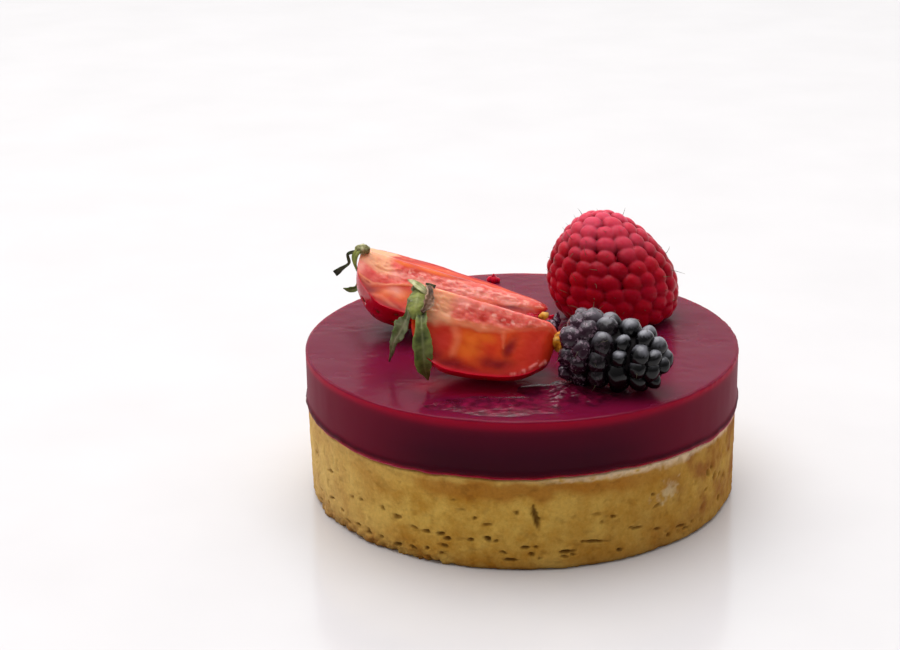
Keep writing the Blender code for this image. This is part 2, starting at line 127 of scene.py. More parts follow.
scene = bpy.context.scene
scene.view_settings.view_transform = "Standard"
camera_back = CAMERA_RIGHT.cross(CAMERA_UP)
camera_data = bpy.data.cameras.new("camera")
camera_data.lens = CAMERA_LENS
camera_data.sensor_width = CAMERA_SENSOR
camera = bpy.data.objects.new("camera", camera_data)
camera.matrix_world = (Matrix.Translation(CAMERA_PLACE)
                       @ Matrix((CAMERA_RIGHT, CAMERA_UP, camera_back)).transposed().to_4x4())
scene.collection.objects.link(camera)
scene.camera = camera

walls = bpy.data.worlds.new("light_walls")
walls.use_nodes = True
tree = walls.node_tree
tree.nodes.clear()
direction = add(tree, "TexCoord").outputs["Generated"]
facing = add(tree, "VectorMath", {0: direction, 1: BRIGHT_SIDE}, operation="DOT_PRODUCT")
shares = add(tree, "MapRange", {"Value": facing.outputs["Value"], "From Min": -1.0})
glow = add(tree, "ValToRGB", {"Fac": shares.outputs["Result"]},
           ((0.10, 0.32), (0.30, 0.40), (0.50, 0.66), (0.75, 0.86), (0.97, 1.50)))
lit = add(tree, "Background", {"Color": glow.outputs["Color"], "Strength": WALL_LIGHT})
seen = add(tree, "Background", {"Color": linear("FFFFFF"), "Strength": 1.0})
# Wet surfaces mirror the low walls at less than their full light, as through a polariser.
height = add(tree, "SeparateXYZ", {"Vector": direction}).outputs["Z"]
mirrored = add(tree, "MapRange", {"Value": height, "From Min": 0.3, "From Max": 0.8,
                                  "To Min": MIRRORED_LIGHT, "To Max": WALL_LIGHT})
polarised = add(tree, "Background", {"Color": glow.outputs["Color"],
                                     "Strength": mirrored.outputs["Result"]})
ray = add(tree, "LightPath")
lit = add(tree, "MixShader", {0: ray.outputs["Is Glossy Ray"], 1: lit.outputs[0],
                              2: polarised.outputs[0]})
both = add(tree, "MixShader", {0: ray.outputs["Is Camera Ray"], 1: lit.outputs[0],
                               2: seen.outputs[0]})
tree.links.new(both.outputs[0], add(tree, "OutputWorld").inputs["Surface"])
scene.world = walls

window_data = bpy.data.lights.new("window", "AREA")
window_data.size = WINDOW_SIZE
window_data.energy = WINDOW_POWER
window = bpy.data.objects.new("window", window_data)
window.location = WINDOW_PLACE
window.rotation_euler = Vector(WINDOW_PLACE).to_track_quat("Z", "Y").to_euler()
scene.collection.objects.link(window)

# White glazed stoneware top: bright and faintly mottled, and glossy enough to mirror the tart.
glaze = plain_material("white_glazed_top", {"Roughness": 0.16, "IOR": 1.5}, 30.0, 3.0,
                       ((0.3, "D2CFD0"), (0.7, "D6D3D4")))
corner = TABLE_SIZE / 2
table_mesh = bpy.data.meshes.new("table")
table_mesh.from_pydata([(-corner, -corner, 0), (corner, -corner, 0), (corner, corner, 0),
                        (-corner, corner, 0)], [], [(0, 1, 2, 3)])
table_mesh.materials.append(glaze)
table = bpy.data.objects.new("table", table_mesh)
scene.collection.objects.link(table)

# --- Crust -----------------------------------------------------------------------------------
# A thick disc of shortcrust, baked in a ring: its side is pale gold and finely grained with
# pores and one crack, browner under the rim, and its foot has crumbled where it was lifted.
CRUST_RADIUS = 39.7 * MM
CRUST_ROWS = 108
CRUST_COLUMNS = 760
CRUST_INNER_RINGS = np.array((0.5, 8.0, 16.0, 24.0, 31.0, 36.0, 38.2)) * MM
CRUST_FOOT_ROUND = 0.6 * MM
CRUST_RIM_SLOPE = 0.5 * MM
CRUST_RIM_HEIGHT = 0.4 * MM
CRUST_TOP = 17.5 * MM
HALF_JOINT = 0.15 * MM
FOOT_HEIGHT = 3.2 * MM


def cloud(points, size, seed, octaves=3):
    """Smooth random field between about -1 and 1.

    Random values at the corners of a cubic lattice of the given size are blended by
    t * t * (3 - 2 t), and each octave has half the size and half the height of the last.
    """
    values = np.random.default_rng(seed).uniform(-1.0, 1.0, (32, 32, 32))
    total = np.zeros(points.shape[:-1])
    for octave in range(octaves):
        q = points * 2 ** octave / size + 17.3 * octave
        cell = np.floor(q).astype(int)
        t = q - cell
        t = t * t * (3 - 2 * t)
        for corner in np.ndindex(2, 2, 2):
            share = np.prod(np.where(corner, t, 1 - t), axis=-1)
            x, y, z = np.moveaxis((cell + corner) % 32, -1, 0)
            total += share * values[x, y, z] / 2 ** octave
    return total


def rise(value, low, high):
    """Smooth step from 0 at low to 1 at high."""
    t = np.clip((value - low) / (high - low), 0.0, 1.0)
    return t * t * (3 - 2 * t)


def joint_line(angle):
    """Height of the line between crust and jelly: a level and five waves round the rim."""
    return (17.2 + 0.26 * np.cos(4 * angle + math.radians(304))
            + 0.12 * np.cos(7 * angle + math.radians(40))
            + 0.07 * np.cos(11 * angle + math.radians(110))
            + 0.09 * np.cos(23 * angle + 1.0) * np.cos(5 * angle)
            + 0.05 * np.cos(41 * angle + 2.0)) * MM


def facing_out(rows):
    """Unit normals of rows of points that wrap round, from the differences of neighbours."""
    along = np.gradient(rows, axis=0)
    around = np.roll(rows, -1, axis=1) - np.roll(rows, 1, axis=1)
    normal = np.cross(around, along)
    normal /= np.linalg.norm(normal, axis=-1, keepdims=True) + 1e-15
    middle = rows.reshape(-1, 3).mean(0)
    return normal * np.sign(np.sum(normal * (rows - middle)))


def wrapped_quads(rows, columns):
    """Faces between rows of points that wrap round, the points' numbers, and those after."""
    index = np.arange(rows * columns).reshape(rows, columns)
    after = np.roll(index, -1, axis=1)
    quads = np.stack([index[:-1], after[:-1], after[1:], index[1:]], -1).reshape(-1, 4)
    return quads, index, after


def smooth_piece(name, points, faces, material, fields):
    """Smooth object of one mesh. Fields, one number a point, become its attributes."""
    mesh = bpy.data.meshes.new(name)
    mesh.from_pydata(points, [], faces)
    for field, values in fields.items():
        mesh.attributes.new(field, "FLOAT", "POINT").data.foreach_set("value", values)
    mesh.shade_smooth()
    mesh.materials.append(material)
    piece = bpy.data.objects.new(name, mesh)
    scene.collection.objects.link(piece)
    return piece


def closed_piece(name, rows, material, fields=None):
    """Mesh through rows of points that wrap round, closed by a fan of faces at each end."""
    quads, index, after = wrapped_quads(*rows.shape[:2])
    faces = quads.tolist()
    faces += [(index.size, b, a) for a, b in zip(index[0], after[0])]
    faces += [(index.size + 1, a, b) for a, b in zip(index[-1], after[-1])]
    points = np.vstack([rows.reshape(-1, 3), rows[0].mean(0), rows[-1].mean(0)])
    a, b, c, d = (points[quads[:, k]] for k in range(4))
    volume = np.sum(np.cross(b - a, c - a) * a) + np.sum(np.cross(c - a, d - a) * a)
    if volume < 0:
        faces = [face[::-1] for face in faces]
    fields = {field: np.append(values, (values[0].mean(), values[-1].mean()))
              for field, values in (fields or {}).items()}
    return smooth_piece(name, points, faces, material, fields)


def tinted(tree, colour, dyes):
    """Mix dyes over a colour, each where its field is high, at most by its strength."""
    for field, dye, strength, *low in dyes:
        mask = add(tree, "Attribute", attribute_name=field).outputs["Fac"]
        mask = add(tree, "MapRange", {"Value": mask, "From Min": sum(low), "To Max": strength})
        dye = linear(dye) if isinstance(dye, str) else dye
        colour = add(tree, "Mix", {0: mask.outputs["Result"], 6: colour, 7: dye},
                     data_type="RGBA").outputs[2]
    return colour


angle = np.linspace(-math.pi, math.pi, CRUST_COLUMNS, endpoint=False)[None, :]
inner = CRUST_INNER_RINGS
rim = joint_line(angle) - HALF_JOINT
share = np.linspace(0.0, 1.0, CRUST_ROWS)[:, None]
side_height = share * rim
side_radius = (CRUST_RADIUS - CRUST_FOOT_ROUND * np.clip(1 - side_height / MM, 0, 1) ** 2
               - CRUST_RIM_SLOPE * np.clip(1 - (rim - side_height) / CRUST_RIM_HEIGHT, 0, 1) ** 2)
radius = np.vstack([np.repeat(inner[:, None], CRUST_COLUMNS, 1), side_radius,
                    np.repeat(inner[::-1, None], CRUST_COLUMNS, 1)])
height = np.vstack([np.zeros((len(inner), CRUST_COLUMNS)), side_height,
                    np.repeat(rim, len(inner), 0)])
angle = np.repeat(angle, len(radius), 0)
points = np.stack([radius * np.cos(angle), radius * np.sin(angle), height], -1)

# Pores and cracks of the side: direction in degrees, height, half width, half height and
# depth in millimetres, and tilt in degrees.
SIDE_PORES = (
    (-86.6, 10.0, 0.50, 2.4, 1.1, 14), (-123.8, 7.3, 0.60, 0.45, 0.9, -10),
    (-128.1, 7.9, 0.60, 0.35, 0.6, -35), (-139.1, 7.8, 0.45, 0.35, 0.5, 0),
    (-114.5, 5.8, 0.90, 0.35, 0.8, -15), (-110.6, 5.9, 0.65, 0.45, 0.9, 10),
    (-108.8, 5.1, 0.80, 0.40, 0.9, 0), (-102.8, 5.5, 0.60, 0.40, 0.8, 0),
    (-98.6, 6.0, 0.75, 0.45, 1.0, -20), (-96.3, 5.6, 0.45, 0.35, 0.6, 0),
    (-89.0, 4.5, 0.80, 0.35, 0.8, 0), (-86.6, 4.6, 0.50, 0.30, 0.6, 0),
    (-79.1, 3.4, 1.30, 0.35, 1.0, -5), (-92.5, 2.1, 1.20, 0.30, 0.9, 0),
    (-101.7, 9.7, 0.40, 0.35, 0.6, 0), (-66.6, 8.8, 0.55, 0.35, 0.6, -10),
    (-72.0, 4.7, 2.40, 0.28, 0.8, -8), (-61.5, 6.0, 0.70, 0.28, 0.6, 0),
    (-53.6, 4.3, 0.80, 0.30, 0.7, -12), (-26.2, 3.6, 0.60, 0.60, 0.8, 0),
    (-157.4, 4.3, 0.50, 0.35, 0.6, 0), (-151.8, 3.1, 0.40, 0.50, 0.6, 0),
    (-118.5, 2.2, 0.90, 0.30, 0.9, -20), (-123.5, 1.9, 0.70, 0.35, 0.9, 0),
    (-137.0, 2.9, 0.70, 0.30, 0.8, 0), (-133.0, 2.2, 0.80, 0.30, 0.8, 0),
    (-30.0, 9.0, 0.50, 0.90, 0.7, -25), (-33.5, 10.5, 0.45, 0.70, 0.6, 20),
    (-107.0, 12.6, 0.50, 0.30, 0.4, 0), (-45.0, 3.1, 1.30, 0.28, 0.7, -10),
)
draw = random.Random(21)
pores = list(SIDE_PORES)
for turn in range(-180, 180, 4):
    pores.append((turn + draw.uniform(-2, 2), 2.2 + 9.5 * draw.random() ** 1.7,
                  draw.uniform(0.3, 1.1), draw.uniform(0.22, 0.42), draw.uniform(0.3, 0.8),
                  draw.uniform(-20, 20)))
side = rise(radius, 0.93 * CRUST_RADIUS, 0.98 * CRUST_RADIUS)
ragged = 1.0 + 0.35 * cloud(points, 0.7 * MM, 5, 2)
dent = np.zeros(radius.shape)
for direction, level, half_width, half_height, depth, tilt in pores:
    across = (angle - math.radians(direction) + math.pi) % (2 * math.pi) - math.pi
    across = across * CRUST_RADIUS / MM
    up = height / MM - level
    lean = math.radians(tilt)
    u = (across * math.cos(lean) + up * math.sin(lean)) / half_width
    v = (up * math.cos(lean) - across * math.sin(lean)) / half_height
    dent = np.maximum(dent, depth * MM * (1 - rise(np.hypot(u, v) * ragged, 0.35, 1.25)))
foot = np.clip(1 - height / FOOT_HEIGHT, 0, 1)
degrees = np.degrees(angle)
crumbly = 0.22 + 0.78 * rise(degrees, -168, -156) * (1 - rise(degrees, -116, -100))
foot_crumble = crumbly * (0.75 * MM * foot ** 1.2 * rise(cloud(points, 1.5 * MM, 6, 3), -0.45, 0.7)
                          + 0.34 * MM * np.sqrt(foot) * cloud(points, 0.8 * MM, 7, 2))
grain = (0.20 * cloud(points, 8 * MM, 1, 2) + 0.10 * cloud(points, 2.4 * MM, 2, 2)
         + 0.05 * cloud(points, 0.8 * MM, 3, 2)) * MM
open_grain = rise(cloud(points, 1.1 * MM, 4, 3), 0.35, 0.9) * 0.14 * MM
push = side * (grain - dent - foot_crumble - open_grain)
radius = radius + push
points[..., 0] = radius * np.cos(angle)
points[..., 1] = radius * np.sin(angle)

under_rim = rim.mean() - height
wander = cloud(points, 3.5 * MM, 8, 3)
front_band = rise(degrees, -122, -108) * (1 - rise(degrees, -66, -50))
baked = (rise(under_rim + 0.9 * MM * wander, 0.5 * MM, 1.4 * MM)
         * (1 - rise(under_rim + 1.3 * MM * wander, 2.4 * MM, 4.6 * MM))
         * (0.25 + 0.75 * front_band))
torn = cloud(points, 1.1 * MM, 10, 3)
flake = 1 - rise(np.hypot((degrees + 50.5) * 0.55, height / MM - 10.8 - 0.12 * (degrees + 50.5))
                 + 1.6 * torn, 0.5, 2.2)
rust = ((1 - rise(np.abs(degrees + 26), 14, 36)) * rise(height / MM, 1.0, 5.0)
        * rise(cloud(points, 3.0 * MM, 9, 3) + 0.012 * (degrees + 26), -0.8, 1.0))
# Browner towards the right front of the side.
browner_right_front = (1 - rise(np.abs(degrees + 34), 22, 62)) * (0.75 + 0.25 * wander)
lip_width = 0.5 + 1.0 * rise(degrees, -70, -40) * (1 - rise(degrees, 20, 60))
pale_lip = (1 - rise(under_rim / MM + 0.5 * wander + 0.35 * torn, 0.2 + 0.3 * lip_width,
                     0.6 + lip_width))
pale_lip *= rise(degrees, -100, -62) * (1 - rise(degrees, 30, 80)) * rise(torn, -1.1, -0.3)
# Painted light: the left of the side is paler, as lit by the bright wall.
painted_light_side = rise(-degrees, 112, 160) * (1 - rise(np.abs(degrees), 172, 179.9))
painted_light_side = np.where(degrees > 0, 0.6 * rise(degrees, 150, 179),
                     np.maximum(painted_light_side, 0.6 * rise(-degrees, 140, 179)))
# Pores are darkened by their depth: painted shade in the hollows.
crust_fields = {"painted_pore_shade": np.clip(dent / (0.8 * MM), 0, 1) + open_grain / (0.6 * MM),
                "baked": baked, "flake": flake, "rust": rust, "pale_lip": pale_lip,
                "painted_light_side": painted_light_side, "browner_right_front": browner_right_front,
                "crumbled": crumbly * foot * rise(cloud(points, 0.9 * MM, 12, 3), -0.5, 0.4)}

# Butter shortcrust: a matt golden crumb of flour grains about half a millimetre wide.
shortcrust, tree, shader = finish_material("butter_shortcrust", {
    "Roughness": 0.8, "IOR": 1.45, "Specular IOR Level": 0.12,
    "Subsurface Weight": 0.12, "Subsurface Radius": (1.0, 0.55, 0.25), "Subsurface Scale": 0.0015})
place = add(tree, "TexCoord").outputs["Object"]
level = add(tree, "SeparateXYZ", {"Vector": place}).outputs["Z"]
level = add(tree, "MapRange", {"Value": level, "From Min": 0.0, "From Max": CRUST_TOP})
# The ramp darkens the side over its lowest 2.5 mm to near black at the table: painted contact
# shadow.
colour = add(tree, "ValToRGB", {"Fac": level.outputs["Result"]},
             ((0.0, "38200A"), (0.025, "80541A"), (0.06, "AC7622"), (0.15, "CA9230"),
              (0.45, "D6A640"), (0.80, "D6A23C"), (0.93, "E0B055"), (1.0, "E6BC6C")))
_, tone = grained(tree, 190.0, ((0.34, "AE701C"), (0.62, "ECC468")), 4.0, 0.6)
colour = add(tree, "Mix", {0: 0.52, 6: colour.outputs["Color"], 7: tone},
             data_type="RGBA").outputs[2]
colour = tinted(tree, colour, (
    ("painted_light_side", "E8C88E", 0.35), ("browner_right_front", "A06C2C", 0.45), ("baked", "B06E20", 0.75),
    ("rust", "904A20", 0.75), ("flake", "EAD8B0", 0.45), ("pale_lip", "F6D8B4", 0.85),
    ("crumbled", "8A5218", 0.75), ("painted_pore_shade", "6E4A16", 0.75)))
flour, speck = grained(tree, 1500.0, ((0.3, 0.80), (0.7, 0.98)), 3.0, 0.7)
colour = add(tree, "Mix", {0: 1.0, 6: colour, 7: speck}, data_type="RGBA",
             blend_type="MULTIPLY").outputs[2]
surface(tree, shader, colour, flour, 0.3, 0.3 * MM)

crust = closed_piece("crust_baked", points, shortcrust, crust_fields)
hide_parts("crust")
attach(crust, "root")

# --- Jelly -----------------------------------------------------------------------------------
# A layer of dark red fruit jelly, poured on the cooled crust and set: its top is level and
# mirror smooth but for faint ripples, and it swells a little where it meets the crust.
JELLY_RADIUS = 40.0 * MM
JELLY_LEVEL = 27.9
JELLY_TOP = JELLY_LEVEL * MM
JELLY_EDGE = 0.5 * MM
JELLY_FOOT = 0.3 * MM
JELLY_COLUMNS = 520
TOP_RINGS = 118
EDGE_RINGS = 9
WALL_ROWS = 38
JELLY_UNDER_RINGS = np.array((36.0, 28.0, 15.0, 0.5)) * MM
JELLY_SHADES_FROM = 16.8 * MM
JELLY_SHADES_TO = 28.0 * MM

around = np.linspace(-math.pi, math.pi, JELLY_COLUMNS, endpoint=False)[None, :]
bottom = joint_line(around) + HALF_JOINT
top_rings = np.linspace(0.2 * MM, JELLY_RADIUS - JELLY_EDGE, TOP_RINGS)
turn = np.linspace(math.pi / 2, 0, EDGE_RINGS)[1:]
edge_rings = JELLY_RADIUS - JELLY_EDGE * (1 - np.cos(turn))
edge_heights = JELLY_TOP - JELLY_EDGE * (1 - np.sin(turn))
fall = np.linspace(0, 1, WALL_ROWS)[1:, None]
wall_height = (JELLY_TOP - JELLY_EDGE) * (1 - fall) + bottom * fall
over_foot = np.clip((wall_height - bottom) / (1.4 * MM), 0, 1)
wall_radius = JELLY_RADIUS + JELLY_FOOT * (1 - rise(over_foot, 0.35, 1.0)) * (0.6 + over_foot)
under = JELLY_UNDER_RINGS
over_foot_all = np.vstack([np.ones((len(top_rings) + len(edge_rings), JELLY_COLUMNS)),
                           over_foot, np.ones((len(under), JELLY_COLUMNS))])
rings = np.concatenate([top_rings, edge_rings])
radius = np.vstack([np.repeat(rings[:, None], JELLY_COLUMNS, 1), wall_radius,
                    np.repeat(under[:, None], JELLY_COLUMNS, 1)])
height = np.vstack([np.full((len(top_rings), JELLY_COLUMNS), JELLY_TOP),
                    np.repeat(edge_heights[:, None], JELLY_COLUMNS, 1), wall_height,
                    np.repeat(bottom, len(under), 0)])
around = np.repeat(around, len(radius), 0)
points = np.stack([radius * np.cos(around), radius * np.sin(around), height], -1)
flat = points * (1, 1, 0)
on_top = rise(height, JELLY_TOP - 0.3 * MM, JELLY_TOP)
in_front = np.exp(-((flat[..., 0] + 3 * MM) / (16 * MM)) ** 2
                  - ((flat[..., 1] + 30 * MM) / (6 * MM)) ** 2)
ripple = (0.09 * cloud(flat, 8 * MM, 31, 2)
          + (0.012 + 0.030 * rise(cloud(flat, 7 * MM, 35, 2), -0.5, 0.7) + 0.03 * in_front)
          * cloud(flat * (0.75, 1.3, 1), 2.0 * MM, 32, 2)
          + 0.05 * in_front * cloud(flat * (0.8, 1.2, 1), 0.9 * MM, 38, 2)) * MM
points[..., 2] += on_top * (ripple - 0.10 * MM)
brink = rise(height, JELLY_TOP - 1.2 * MM, JELLY_TOP - 0.4 * MM)
wobble = (0.05 * cloud(points * (1, 1, 0.4), 4 * MM, 33, 2)
          + 0.10 * brink * rise(np.cos(around + 0.2), 0.2, 0.9) * cloud(points, 1.1 * MM, 36, 2)
          + 0.12 * (1 - rise(over_foot_all, 0.2, 1.0)) * cloud(points, 1.6 * MM, 37, 2)
          ) * MM * (1 - on_top)
points[..., 0] += wobble * np.cos(around)
points[..., 1] += wobble * np.sin(around)

# Set fruit jelly. Its side is painted by height: a red glow at the upper edge, for light that
# soaks in there, turning nearly black lower down, and a thin pink line at its foot, painted as
# the crust shining through. At the left and right a painted magenta glow stands for light that
# comes through the layer, and on the top under the front strawberry a painted crimson glow for
# light that has passed the red flesh.
set_jelly, tree, shader = finish_material("set_fruit_jelly", {
    "IOR": 1.36, "Specular IOR Level": 0.11,
    "Subsurface Weight": 0.7, "Subsurface Radius": (1.0, 0.10, 0.15), "Subsurface Scale": 0.006,
    "Sheen Weight": 0.03, "Sheen Roughness": 0.5, "Sheen Tint": linear("D078A4")})
place = add(tree, "TexCoord").outputs["Object"]
level = add(tree, "SeparateXYZ", {"Vector": place}).outputs["Z"]
level = add(tree, "MapRange", {"Value": level, "From Min": JELLY_SHADES_FROM,
                               "From Max": JELLY_SHADES_TO})
# The ramp paints the side's glow at its upper edge and its pink foot line.
colour = add(tree, "ValToRGB", {"Fac": level.outputs["Result"]},
             ((0.0, "8A2C44"), (0.06, "5E0C22"), (0.10, "3E0818"), (0.40, "42081C"),
              (0.72, "540820"), (0.79, "5E0A22"), (0.87, "8A0A2A"), (0.94, "900A2C"),
              (0.968, "660A2A"), (1.0, "640A2A")))
wet = add(tree, "MapRange", {"Value": level.outputs["Result"], "From Min": 0.955,
                             "From Max": 0.978, "To Min": 0.5, "To Max": 0.25})
tree.links.new(wet.outputs["Result"], shader.inputs["Roughness"])
colour = tinted(tree, colour.outputs["Color"], (("painted_side_glow", "6E0824", 1.0),
                                                ("painted_fruit_glow", "AE0E34", 1.0)))
fine = add(tree, "TexNoise", {"Vector": place, "Scale": 600.0, "Detail": 3.0})
surface(tree, shader, colour, fine, 0.06, 0.3 * MM)

# Painted magenta glow on the left and right of the side, for light coming through the layer.
painted_side_glow = (0.85 * rise(np.abs(np.cos(around)), 0.3, 0.8) * rise(over_foot_all, 0.6, 1.0)
                 * (1 - rise(height, JELLY_TOP - 2.0 * MM, JELLY_TOP - 0.8 * MM)))
# Painted crimson glow on the top under the front strawberry, for light passed through its flesh.
from_fruit = np.hypot((flat[..., 0] + 5 * MM) / (15 * MM),
                      (flat[..., 1] + 23.5 * MM) / (6.5 * MM))
painted_fruit_glow = 0.85 * on_top * (1 - rise(from_fruit, 0.55, 1.1))
jelly = closed_piece("jelly_layer", points, set_jelly,
                     {"painted_side_glow": painted_side_glow, "painted_fruit_glow": painted_fruit_glow})
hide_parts("jelly")
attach(jelly, "root")

# --- Strawberry pieces -----------------------------------------------------------------------
# Two lengths cut from ripe strawberries, a quarter in front and over a third behind: glossy
# red skin with seeds below, moist cut flesh with a pale core above, its ridge rounded off.
BERRY_STATIONS = 170
SKIN_POINTS = 110
FACE_POINTS = 70
HALVINGS = 26
SEED_SIZE = np.array((0.44, 0.26, 0.18)) * MM
SEED_PITCH = 3.1 * MM
SEED_ROW_STEP = 13
DIMPLE_DEPTH = 0.28 * MM


def catmull(points, steps):
    """Catmull-Rom curve through the points, with the given steps between each two."""
    p = np.array(points, float)
    p = np.vstack([2 * p[0] - p[1], p, 2 * p[-1] - p[-2]])
    t = np.linspace(0, 1, steps, endpoint=False)[None, :, None]
    a, b, c, d = (p[k:len(p) - 3 + k, None] for k in range(4))
    curve = 0.5 * (2 * b + (c - a) * t + (2 * a - 5 * b + 4 * c - d) * t ** 2
                   + (3 * b - a - 3 * c + d) * t ** 3)
    return np.vstack([curve.reshape(-1, p.shape[1]), p[-2]])


def run_length(curve):
    """Distance along a curve to each of its points."""
    return np.append(0.0, np.cumsum(np.linalg.norm(np.diff(curve, axis=0), axis=1)))


def aim(start, end):
    """Three unit rows: up, front and along, for a piece that runs from start to end."""
    along = np.subtract(end, start)
    along = along / np.linalg.norm(along)
    up = np.array((0.0, 0.0, 1.0)) - along * along[2]
    if np.linalg.norm(up) < 0.5:
        up = np.array((0.0, 1.0, 0.0)) - along * along[1]
    up /= np.linalg.norm(up)
    return np.array([up, np.cross(along, up), along])


def cut_section(radius, half, rounding):
    """Closed outline of a disc cut to a wedge whose ridge, rounded off, lies on its centre.

    The wedge opens along +x by the half angle to each side. Rays leave a point inside, and
    each ends where it leaves the disc or the wedge, whichever is nearer. Rays are spread
    evenly over the skin and over the cut faces, whose corners are found by halving.
    Gives x and y for each radius and ray, and 1 where the ray ends on the skin.
    """
    radius = radius[:, None]
    inside = np.maximum(0.45 * radius, 0.02 * MM)

    def outside_wedge(x, y):
        qx, qy = x - rounding, np.abs(y)
        along = qx * math.cos(half) + qy * math.sin(half)
        flat = qy * math.cos(half) - qx * math.sin(half)
        return np.where(along < 0, np.hypot(qx, qy), flat) - rounding

    def reach(turn):
        c, s = np.cos(turn), np.sin(turn)
        to_disc = -inside * c + np.sqrt(radius ** 2 - (inside * s) ** 2)
        low, high = np.zeros_like(to_disc), to_disc
        for _ in range(HALVINGS):
            middle = (low + high) / 2
            out = outside_wedge(inside + middle * c, middle * s) > 0
            low, high = np.where(out, low, middle), np.where(out, middle, high)
        return low, to_disc

    near, far = np.zeros_like(radius), np.full_like(radius, math.pi)
    for _ in range(HALVINGS):
        middle = (near + far) / 2
        to_wedge, to_disc = reach(middle)
        cut = to_wedge < to_disc * 0.999
        near, far = np.where(cut, near, middle), np.where(cut, middle, far)
    skin = np.linspace(-1, 1, SKIN_POINTS)[None, :] * near
    face = near + (2 * math.pi - 2 * near) * np.linspace(0, 1, 2 * FACE_POINTS)[None, 1:-1]
    turn = np.hstack([skin, face])
    length, _ = reach(turn)
    on_skin = np.repeat(np.hstack([np.ones(SKIN_POINTS), np.zeros(2 * FACE_POINTS - 2)])[None],
                        len(radius), 0)
    return inside + length * np.cos(turn), length * np.sin(turn), on_skin


def strawberry_shape(shoulder, tip, outline, wedge, rounding, droop, seed):
    """Surface of a cut strawberry piece: sections by cut_section along its axis.

    From the first distance in droop to the tip the sections sink by its last value, as the
    cube of the share of the way, which rounds the ridge's end. Gives the points and four
    fields: distance along the axis, signed distance from the ridge over the cut face (front
    face positive) and depth below the skin, in millimetres, and whether a point is on skin.
    """
    curve = catmull(outline, 24)
    length = run_length(curve)
    at = np.linspace(0.004, 0.996, BERRY_STATIONS) * length[-1]
    distance = np.interp(at, length, curve[:, 0]) * MM
    size = np.maximum(np.interp(at, length, curve[:, 1]), 0.05) * MM
    half = math.radians(abs(wedge[0] - wedge[1])) / 2
    middle = math.radians(wedge[0] + wedge[1]) / 2
    x, y, skin = cut_section(size, half, rounding)
    up, front, along = aim(shoulder, tip)
    down = -up * math.cos(middle) + front * math.sin(middle)
    sideways = up * math.sin(middle) + front * math.cos(middle)
    sunk = droop[1] * MM * np.clip((distance / MM - droop[0])
                                   / (curve[-1, 0] - droop[0]), 0, 1)[:, None] ** 3
    points = (np.array(shoulder) + distance[:, None, None] * along + (x + sunk)[..., None] * down
              + y[..., None] * sideways)
    setback = rounding / math.sin(half) - rounding
    face = np.sign(y) * np.hypot(x + setback, y) / MM
    depth = (size[:, None] - np.hypot(x, y)) / MM
    lump = 0.25 * MM * cloud(points, 7 * MM, seed, 2) * skin
    points = points + lump[..., None] * facing_out(points)
    return points, {"along": np.repeat(distance[:, None] / MM, x.shape[1], 1), "face": face,
                    "depth": depth, "skin": skin}


FRONT_SHOULDER = np.array((-17.6, -18.0, 44.9)) * MM
FRONT_TIP = np.array((5.9, -21.5, 38.6)) * MM
FRONT_OUTLINE = ((0.1, 0.0), (0.2, 4.6), (1.3, 8.8), (4.2, 12.0), (8.0, 13.5), (12.0, 13.4),
                 (16.0, 12.7), (20.0, 11.6), (23.2, 9.7), (25.0, 7.0), (25.6, 4.0), (25.7, 0.0))
BACK_SHOULDER = np.array((-29.8, 6.9, 43.2)) * MM
BACK_TIP = np.array((5.6, 5.6, 32.3)) * MM
BACK_OUTLINE = ((0.1, 0.0), (0.3, 4.0), (1.8, 7.8), (6.0, 11.4), (12.0, 11.6), (18.0, 9.9),
                (25.0, 7.4), (31.0, 4.9), (35.0, 2.6), (36.6, 0.0))

front_points, front = strawberry_shape(FRONT_SHOULDER, FRONT_TIP, FRONT_OUTLINE, (40, -54),
                                       0.6 * MM, (22.6, 2.4), 41)
back_points, back = strawberry_shape(BACK_SHOULDER, BACK_TIP, BACK_OUTLINE, (60, -77),
                                     3.0 * MM, (33.0, 0.6), 42)


def face_cloud(along, face, size, seed, octaves):
    """The random field over a cut face, whose places are in millimetres."""
    return cloud(np.stack([along, face, 0 * face], -1), size, seed, octaves)


def stroke(along, face, path, widths, seed):
    """1 on a line over the cut face, falling to 0 at its edge.

    The path's points are (along, distance from the ridge) in millimetres, and the width
    runs between the two half widths given. The line wanders a little.
    """
    path = catmull(path, 10)
    widths = np.linspace(widths[0], widths[1], len(path))
    nearest = np.full(along.shape, 9.0)
    for (a, b), width in zip(path, widths):
        nearest = np.minimum(nearest, np.hypot(along - a, face - b) / width)
    return 1 - rise(nearest + 0.35 * face_cloud(along, face, 1.3, seed, 3), 0.2, 1.8)


def patches(along, face, spots, seed):
    """Largest of several soft ellipses on the cut face, from 0 to 1, with wandering edges.

    Each spot is its middle (along, distance from the ridge), its two half sizes, all in
    millimetres, and its turn in degrees.
    """
    wander = 0.22 * face_cloud(along, face, 2.4, seed, 3)
    field = np.zeros(along.shape)
    for middle_along, middle_face, half_long, half_wide, turn in spots:
        c, s = math.cos(math.radians(turn)), math.sin(math.radians(turn))
        u = ((along - middle_along) * c + (face - middle_face) * s) / half_long
        v = ((face - middle_face) * c - (along - middle_along) * s) / half_wide
        field = np.maximum(field, 1 - rise(np.hypot(u, v) + wander, 0.0, 1.5))
    return field


